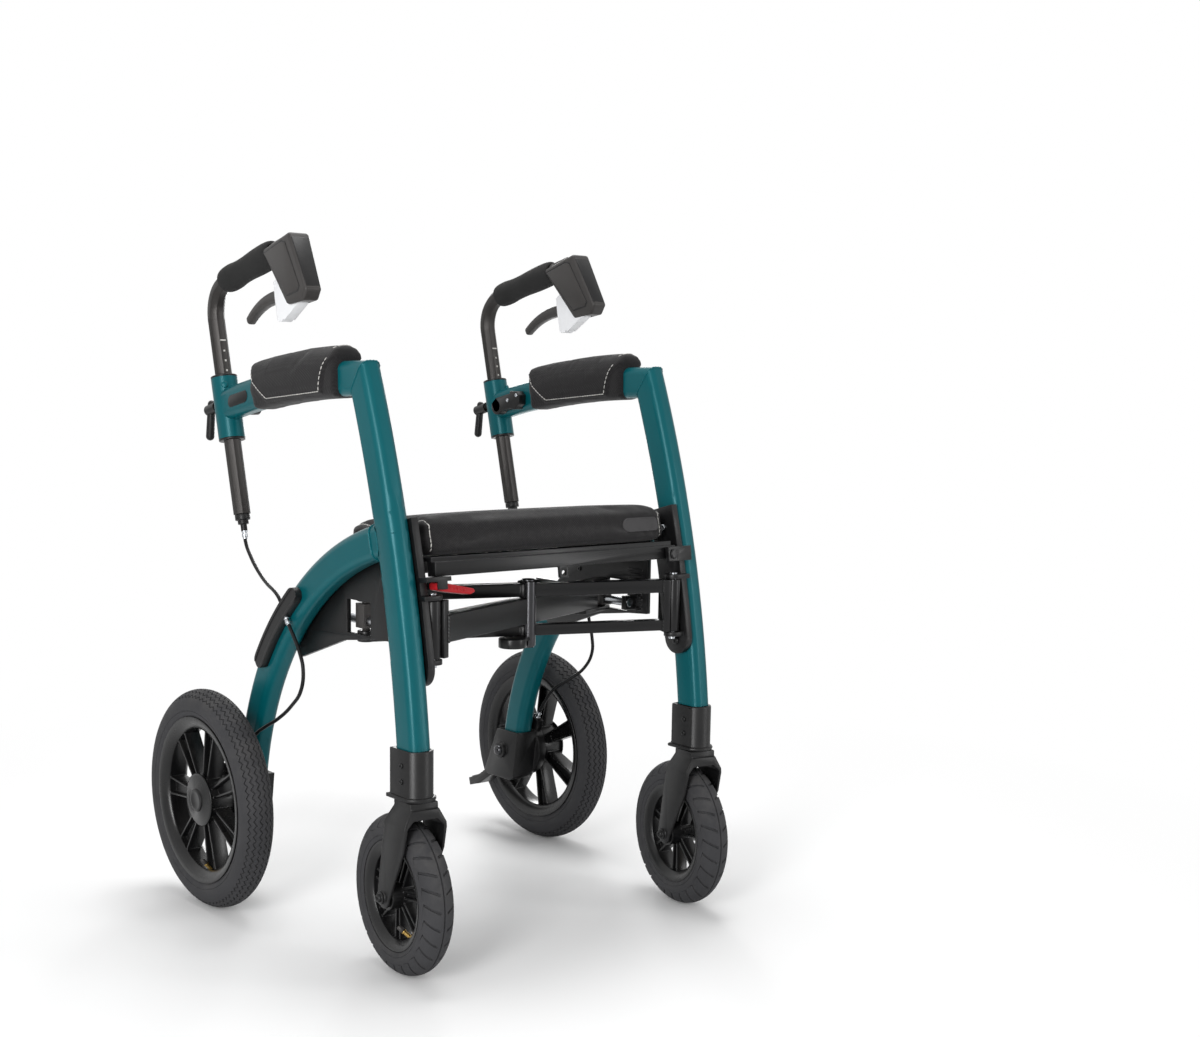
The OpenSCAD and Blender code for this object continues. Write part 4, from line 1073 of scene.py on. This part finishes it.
class ROLLATOR_OT_cables(bpy.types.Operator):
    """Run the brake cables and their ferrules"""

    bl_idname = "rollator.cables"
    bl_label = "Cables"

    UPPER = ((238, 427, 529.8), (238.5, 423.4, 515.5), (241, 405, 497), (246, 373, 478), (252, 338, 465),
             (257, 312, 459.5), (259, 297, 453), (259, 289.7, 445.8))
    TAIL = ((264, 374, 238), (264, 386, 221), (264, 393.2, 208.8))
    LOWER = {
        "left": ((259, 275.6, 426.5), (260, 268, 418.5), (263, 250, 405), (265, 233, 388), (266, 222, 366),
                 (266, 228, 337), (266, 252, 313), (266, 290, 288), (265, 326, 271), (264, 354, 256)) + TAIL,
        "right": ((259, 275.6, 426.5), (261, 271, 414), (263, 268, 385), (264, 261, 356), (264, 260, 334),
                  (265, 278, 307), (265, 318, 281), (264, 352, 261)) + TAIL,
    }

    def execute(self, context):
        for side, s in SIDES:
            upper = [at(s * x, y, z) for x, y, z in self.UPPER]
            lower = [at(s * x, y, z) for x, y, z in self.LOWER[side]]
            hose = piece(f"{side}_upper_brake_cable", tube_mesh(upper, CABLE_RADIUS), "cable_jacket", None,
                         [f"{side}_upper_cable"])
            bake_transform(hose)
            piece(f"{side}_lower_brake_cable", tube_mesh(lower, CABLE_RADIUS), "cable_jacket",
                  f"{side}_frame", [f"{side}_lower_cable"])
            self.ferrule(f"{side}_plug_ferrule", upper[0], upper[1] - upper[0], f"{side}_plug")
            self.ferrule(f"{side}_cover_ferrule", lower[0], lower[1] - lower[0], f"{side}_frame")
            self.ferrule(f"{side}_brake_ferrule", lower[-1], lower[-2] - lower[-1], f"{side}_frame")
        return {"FINISHED"}

    def ferrule(self, name, foot, axis, body):
        """A turned cable end: a collar, a groove and a sleeve."""
        bm = bmesh.new()
        lathe(bm, [(-3, 2.55), (-3, 4.2), (1, 4.2), (1.8, 3.4), (3, 3.4), (3.4, 4.0), (8, 4.0), (8.6, 3.2),
                   (11, 3.0), (11, 2.55), (-3, 2.55)], foot, axis.normalized(), 18)
        piece(name, bm, "bright_steel", body)


class ROLLATOR_OT_fittings(bpy.types.Operator):
    """Add bolts, screws, rivets, weld beads, ribs and bare badges"""

    bl_idname = "rollator.fittings"
    bl_label = "Fittings"

    # How far from the middle, in millimetres, the lines start that drop fittings on inner and outer faces
    INSIDE, OUTSIDE = 150, 330
    # Metres by which the even and odd points of a weld bead stand off its line, on tubes and on bars
    TUBE_RIPPLE, BAR_RIPPLE = (-0.0003, 0.0004), (-0.0003, 0.0005)
    # Points in a weld bead round a tube, and the metres from its centre at which their lines start
    WELD_POINTS, WELD_REACH = 72, 0.07
    # Link hinges, the link and half thickness of each, and the heights over which its bars are welded
    WELDED = (("right_frame_hinge", "double_link", 9.0, ((405.0, 419.5), (458.0, 476.0))),
              ("fold", "single_link", 12.0, ((422.0, 456.5),)))

    def execute(self, context):
        bead = context.scene.rollator_sizes.weld_radius
        for side, s in SIDES:
            self.frame_welds(side, s, bead)
            self.frame_bolts(side, s)
            self.caster_bolts(side)
            self.badge(side, s)
            self.hub_rings(side, s)
        self.pin_runs()
        self.link_welds(bead)
        self.rod_cap()
        self.pedal_ribs()
        self.release_ribs()
        return {"FINISHED"}

    def weld_ring(self, bm, trees, centre, along, radius):
        """A rippled weld bead round a tube, laid on the first surface met from outside."""
        across = Vector((1, 0, 0))
        points = []
        for k in range(self.WELD_POINTS):
            turn = math.tau * k / self.WELD_POINTS
            away = across * math.cos(turn) + along * math.sin(turn)
            hits = [tree.ray_cast(centre + away * self.WELD_REACH, -away, self.WELD_REACH) for tree in trees]
            near = min((hit for hit in hits if hit[0] is not None), key=lambda hit: hit[3])
            points.append(near[0] + away * self.TUBE_RIPPLE[k % 2])
        join_in(bm, tube_mesh(points, radius, closed=True, sides=2, steps=2))

    def frame_welds(self, side, s, bead):
        """Weld beads at the corner of leg and armrest and where the arch meets the leg."""
        leg, arm, arch = (surface_of(NODES[f"{side}_{part}"]) for part in ("leg", "armrest", "arch"))
        bm = bmesh.new()
        self.weld_ring(bm, (leg, arm), at(s * FRAME_X, 112.7, 745.5), Vector((0, 0.567, -0.824)), bead * 0.55)
        self.weld_ring(bm, (arch,), at(s * FRAME_X, 80.0, 545.5), Vector((0, 0.25, 0.968)), bead)
        piece(f"{side}_frame_welds", bm, "teal_paint", f"{side}_frame")

    def frame_bolts(self, side, s):
        """Screws and bolts that sit on the frame's brackets, each dropped on the part that holds it."""
        steel, dark, dome, paint = (bmesh.new() for _ in range(4))
        out, inward = Vector((s, 0, 0)), Vector((-s, 0, 0))
        bracket, hinge, panel, clip, collar = (surface_of(NODES[f"{side}_{part}"]) for part in (
            "axle_bracket", "hinge_bracket", "side_panel", "backrest_clip", "armrest"))
        for y, z, r in ((446, 172, 3.4), (408, 176, 3.4), (456, 128, 3.2)):
            screw_on(dark, bracket, at(s * self.OUTSIDE, y, z), inward, r, 2.4)
        for z, bm, r, height in ((420.0, steel, 4.2, 2.8), (470.0, steel, 4.2, 2.8), (545.0, steel, 4.2, 2.8),
                                 (388.0, dark, 6.0, 3.2)):
            screw_on(bm, hinge, at(s * self.INSIDE, leg_y(z), z), out, r, height)
        for y, z in ((100, 440), (235, 468), (300, 412)):
            screw_on(dark, panel, at(s * self.INSIDE, y, z), out, 3.8, 2.2)
        for y, rise in ((408, -2), (386, 2)):
            screw_on(steel, clip, at(s * self.INSIDE, y, on_arm(y, rise)), out, 2.8, 1.8)
        axle = Vector(JOINT[f"{side}_rear_wheel_spin"]["pos_m"])
        spot, _ = drop_on(bracket, Vector((s * self.INSIDE / 1000, axle.y, axle.z)), out)
        lathe(dome, [(-1, 0), (-1, 8.5), (1.6, 8.5), (4.0, 7.0), (5.6, 4.2), (6.2, 0)], spot, inward, 28)
        piece(f"{side}_axle_nut", dome, "polished_pin", f"{side}_frame")
        toward = (Vector((s * 0.5, 0, 0)) + POST_AHEAD * 0.86).normalized()
        spot, _ = drop_on(collar, on_post(s, 0, 0, 30) + toward * 0.06, -toward)
        screw(paint, spot, toward, 4.6, 2.6, socket=False)
        piece(f"{side}_collar_rivet", paint, "teal_paint", f"{side}_frame")
        piece(f"{side}_frame_bolts", steel, "bright_steel", f"{side}_frame")
        piece(f"{side}_frame_screws", dark, "black_metal", f"{side}_frame")

    def caster_bolts(self, side):
        """Axle bolts on the fork and two screws on each side of the caster housing."""
        joint = JOINT[f"{side}_front_wheel_spin"]
        axis = Vector(joint["axis"])
        centre = Vector(joint["pos_m"])
        fork = surface_of(NODES[f"{side}_fork"])
        bm = bmesh.new()
        for way in (-1, 1):
            spot, _ = drop_on(fork, centre + axis * way * 0.06, -axis * way)
            washer(bm, spot, axis * way, 4.0, 8.4, 1.2)
            screw(bm, spot + axis * way * 0.001, axis * way, 5.6, 4.0)
        piece(f"{side}_caster_axle_bolts", bm, "black_metal", f"{side}_caster")
        bm = bmesh.new()
        housing = surface_of(NODES[f"{side}_caster_housing"])
        middle = sum((Vector(corner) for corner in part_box(f"{side}_caster_housing")), Vector()) / 2
        for way in (-1, 1):
            for dz in (-0.008, 0.012):
                screw_on(bm, housing, middle + Vector((way * 0.08, 0, dz)), Vector((-way, 0, 0)), 3.6, 2.2)
        piece(f"{side}_caster_housing_screws", bm, "black_metal", f"{side}_frame")

    def hub_rings(self, side, s):
        """A raised rim round the middle of the rear hub cap."""
        low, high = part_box(f"{side}_hub_cap")
        foot = Vector(JOINT[f"{side}_rear_wheel_spin"]["pos_m"])
        foot.x = high[0] if s > 0 else low[0]
        bm = bmesh.new()
        lathe(bm, [(-4, 0), (-4, 17), (0.2, 16), (0.9, 14.5), (0.9, 11), (0.3, 10), (0.3, 0)], foot,
              (s, 0, 0))
        piece(f"{side}_hub_rings", bm, "black_plastic", f"{side}_rear_wheel")

    def badge(self, side, s):
        """A bare oval badge on the armrest's outer face."""
        tree = surface_of(NODES[f"{side}_armrest"])
        bm = bmesh.new()
        inward = Vector((-s, 0, 0))
        middle, straight, radius, count = 413, 19.0, 8.0, 28
        outline = []
        for k in range(count):
            a = math.tau * (k + 0.5) / count
            y = middle + math.copysign(straight, math.cos(a)) + radius * math.cos(a)
            start = at(s * 300, y, on_arm(y, -1 + radius * math.sin(a)))
            outline.append(drop_on(tree, start, inward)[0])
        prism(bm, [p + inward * 0.0004 for p in outline], -inward * 0.0012, 0.3)
        piece(f"{side}_armrest_badge", bm, "black_plastic", f"{side}_frame")

    def pin_runs(self):
        """The polished runs of the centre pin in front of the bars."""
        pin = Vector(JOINT["link_cross"]["pos_m"])
        low, high = (corner[2] * 1000 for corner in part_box("double_link"))
        middle_low, middle_high = (corner[2] * 1000 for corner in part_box("single_link"))
        for name, body, bottom, top, reach in (("upper", "double_link", middle_high + 1.5, high, 7.5),
                                               ("middle", "single_link", middle_low, middle_high, 10.5),
                                               ("lower", "double_link", low, middle_low - 1.5, 7.5)):
            bm = bmesh.new()
            length = top - bottom
            foot = Vector((pin.x, pin.y - reach / 1000, bottom / 1000))
            lathe(bm, [(0, 0), (0, 7.8), (0.8, 8.6), (length - 0.8, 8.6), (length, 7.8), (length, 0)], foot,
                  (0, 0, 1), 28)
            piece(f"centre_pin_{name}", bm, "polished_pin", body)

    def link_welds(self, bead):
        """Upright weld beads where the link bars meet the end plates of their hinges."""
        pin = Vector(JOINT["link_cross"]["pos_m"])
        for hinge, link, half, bars in self.WELDED:
            end = Vector(JOINT[hinge]["pos_m"])
            along = Vector((end.x - pin.x, end.y - pin.y, 0)).normalized()
            front = Vector((along.y, -along.x, 0)) * (1 if along.x > 0 else -1)
            foot = end - along * 0.018 + front * half / 1000
            bm = bmesh.new()
            for low, high in bars:
                count = int((high - low) / 2.2)
                points = [Vector((foot.x, foot.y, (low + (high - low) * k / count) / 1000))
                          + front * self.BAR_RIPPLE[k % 2] for k in range(count + 1)]
                join_in(bm, tube_mesh(points, bead, sides=2, steps=2))
            piece(f"{link}_welds", bm, "black_metal", link)

    def rod_cap(self):
        """The dark cap on the front end of the rod that the seat turns on."""
        bm = bmesh.new()
        lathe(bm, [(-1, 0), (-1, 7.0), (1.4, 7.0), (2.8, 5.6), (3.2, 0)], on_seat(190, -16, -18),
              -SEAT_BACK, 28)
        piece("seat_rod_cap", bm, "black_metal", "right_frame")

    def pedal_ribs(self):
        """Grip ribs across the tipping pedal's tread."""
        tree = surface_of(NODES["tipping_pedal"])
        down = Vector((0, 0, -1))
        ahead = Vector((0, 0.0011, 0))
        bm = bmesh.new()
        for y in range(484, 524, 6):
            left, right = (drop_on(tree, at(FRAME_X + x, y, 160), down)[0] for x in (-10.5, 10.5))
            prism(bm, [left - ahead, right - ahead, right + ahead, left + ahead], -down * 0.0014, 0.4)
        piece("tipping_pedal_ribs", bm, "black_plastic", "right_frame")

    def release_ribs(self):
        """Grip ribs on the release lever's finger face."""
        tree = surface_of(NODES["release_lever"])
        bm = bmesh.new()
        for x in range(-186, -162, 5):
            z = -38.0 - (x + 186) * 0.22
            spots = [drop_on(tree, on_seat(x + dx, -60, z + dz), SEAT_BACK)[0]
                     for dx, dz in ((-0.8, -2.4), (0.8, -2.4), (0.8, 2.0), (-0.8, 2.0))]
            prism(bm, spots, -SEAT_BACK * 0.0012, 0.3)
        piece("release_lever_ribs", bm, "red_plastic", "release_lever")


class ROLLATOR_PT_panel(bpy.types.Panel):
    """Lists the rollator's pieces, sizes and colours"""

    bl_idname = "ROLLATOR_PT_panel"
    bl_label = "Rollator"
    bl_space_type = "VIEW_3D"
    bl_region_type = "UI"
    bl_category = "Rollator"

    def draw(self, context):
        column = self.layout.column()
        for operator in OPERATORS:
            column.operator(operator.bl_idname)
        for group in (context.scene.rollator_sizes, context.scene.rollator_colours):
            for name in group.__annotations__:
                column.prop(group, name)


OPERATORS = (ROLLATOR_OT_stage, ROLLATOR_OT_finishes, ROLLATOR_OT_mouldings, ROLLATOR_OT_tyres,
             ROLLATOR_OT_seat_cushion, ROLLATOR_OT_arm_pads, ROLLATOR_OT_handles, ROLLATOR_OT_cables,
             ROLLATOR_OT_fittings)
CLASSES = (RollatorColours, RollatorSizes) + OPERATORS + (ROLLATOR_PT_panel,)


def register():
    for cls in CLASSES:
        bpy.utils.register_class(cls)
    bpy.types.Scene.rollator_colours = bpy.props.PointerProperty(type=RollatorColours)
    bpy.types.Scene.rollator_sizes = bpy.props.PointerProperty(type=RollatorSizes)


def unregister():
    del bpy.types.Scene.rollator_sizes
    del bpy.types.Scene.rollator_colours
    for cls in reversed(CLASSES):
        bpy.utils.unregister_class(cls)


def main():
    register()
    bpy.ops.rollator.stage()
    bpy.ops.rollator.finishes()
    bpy.ops.rollator.mouldings()
    bpy.ops.rollator.tyres()
    bpy.ops.rollator.seat_cushion()
    bpy.ops.rollator.arm_pads()
    bpy.ops.rollator.handles()
    bpy.ops.rollator.cables()
    bpy.ops.rollator.fittings()


if __name__ == "__main__":
    main()
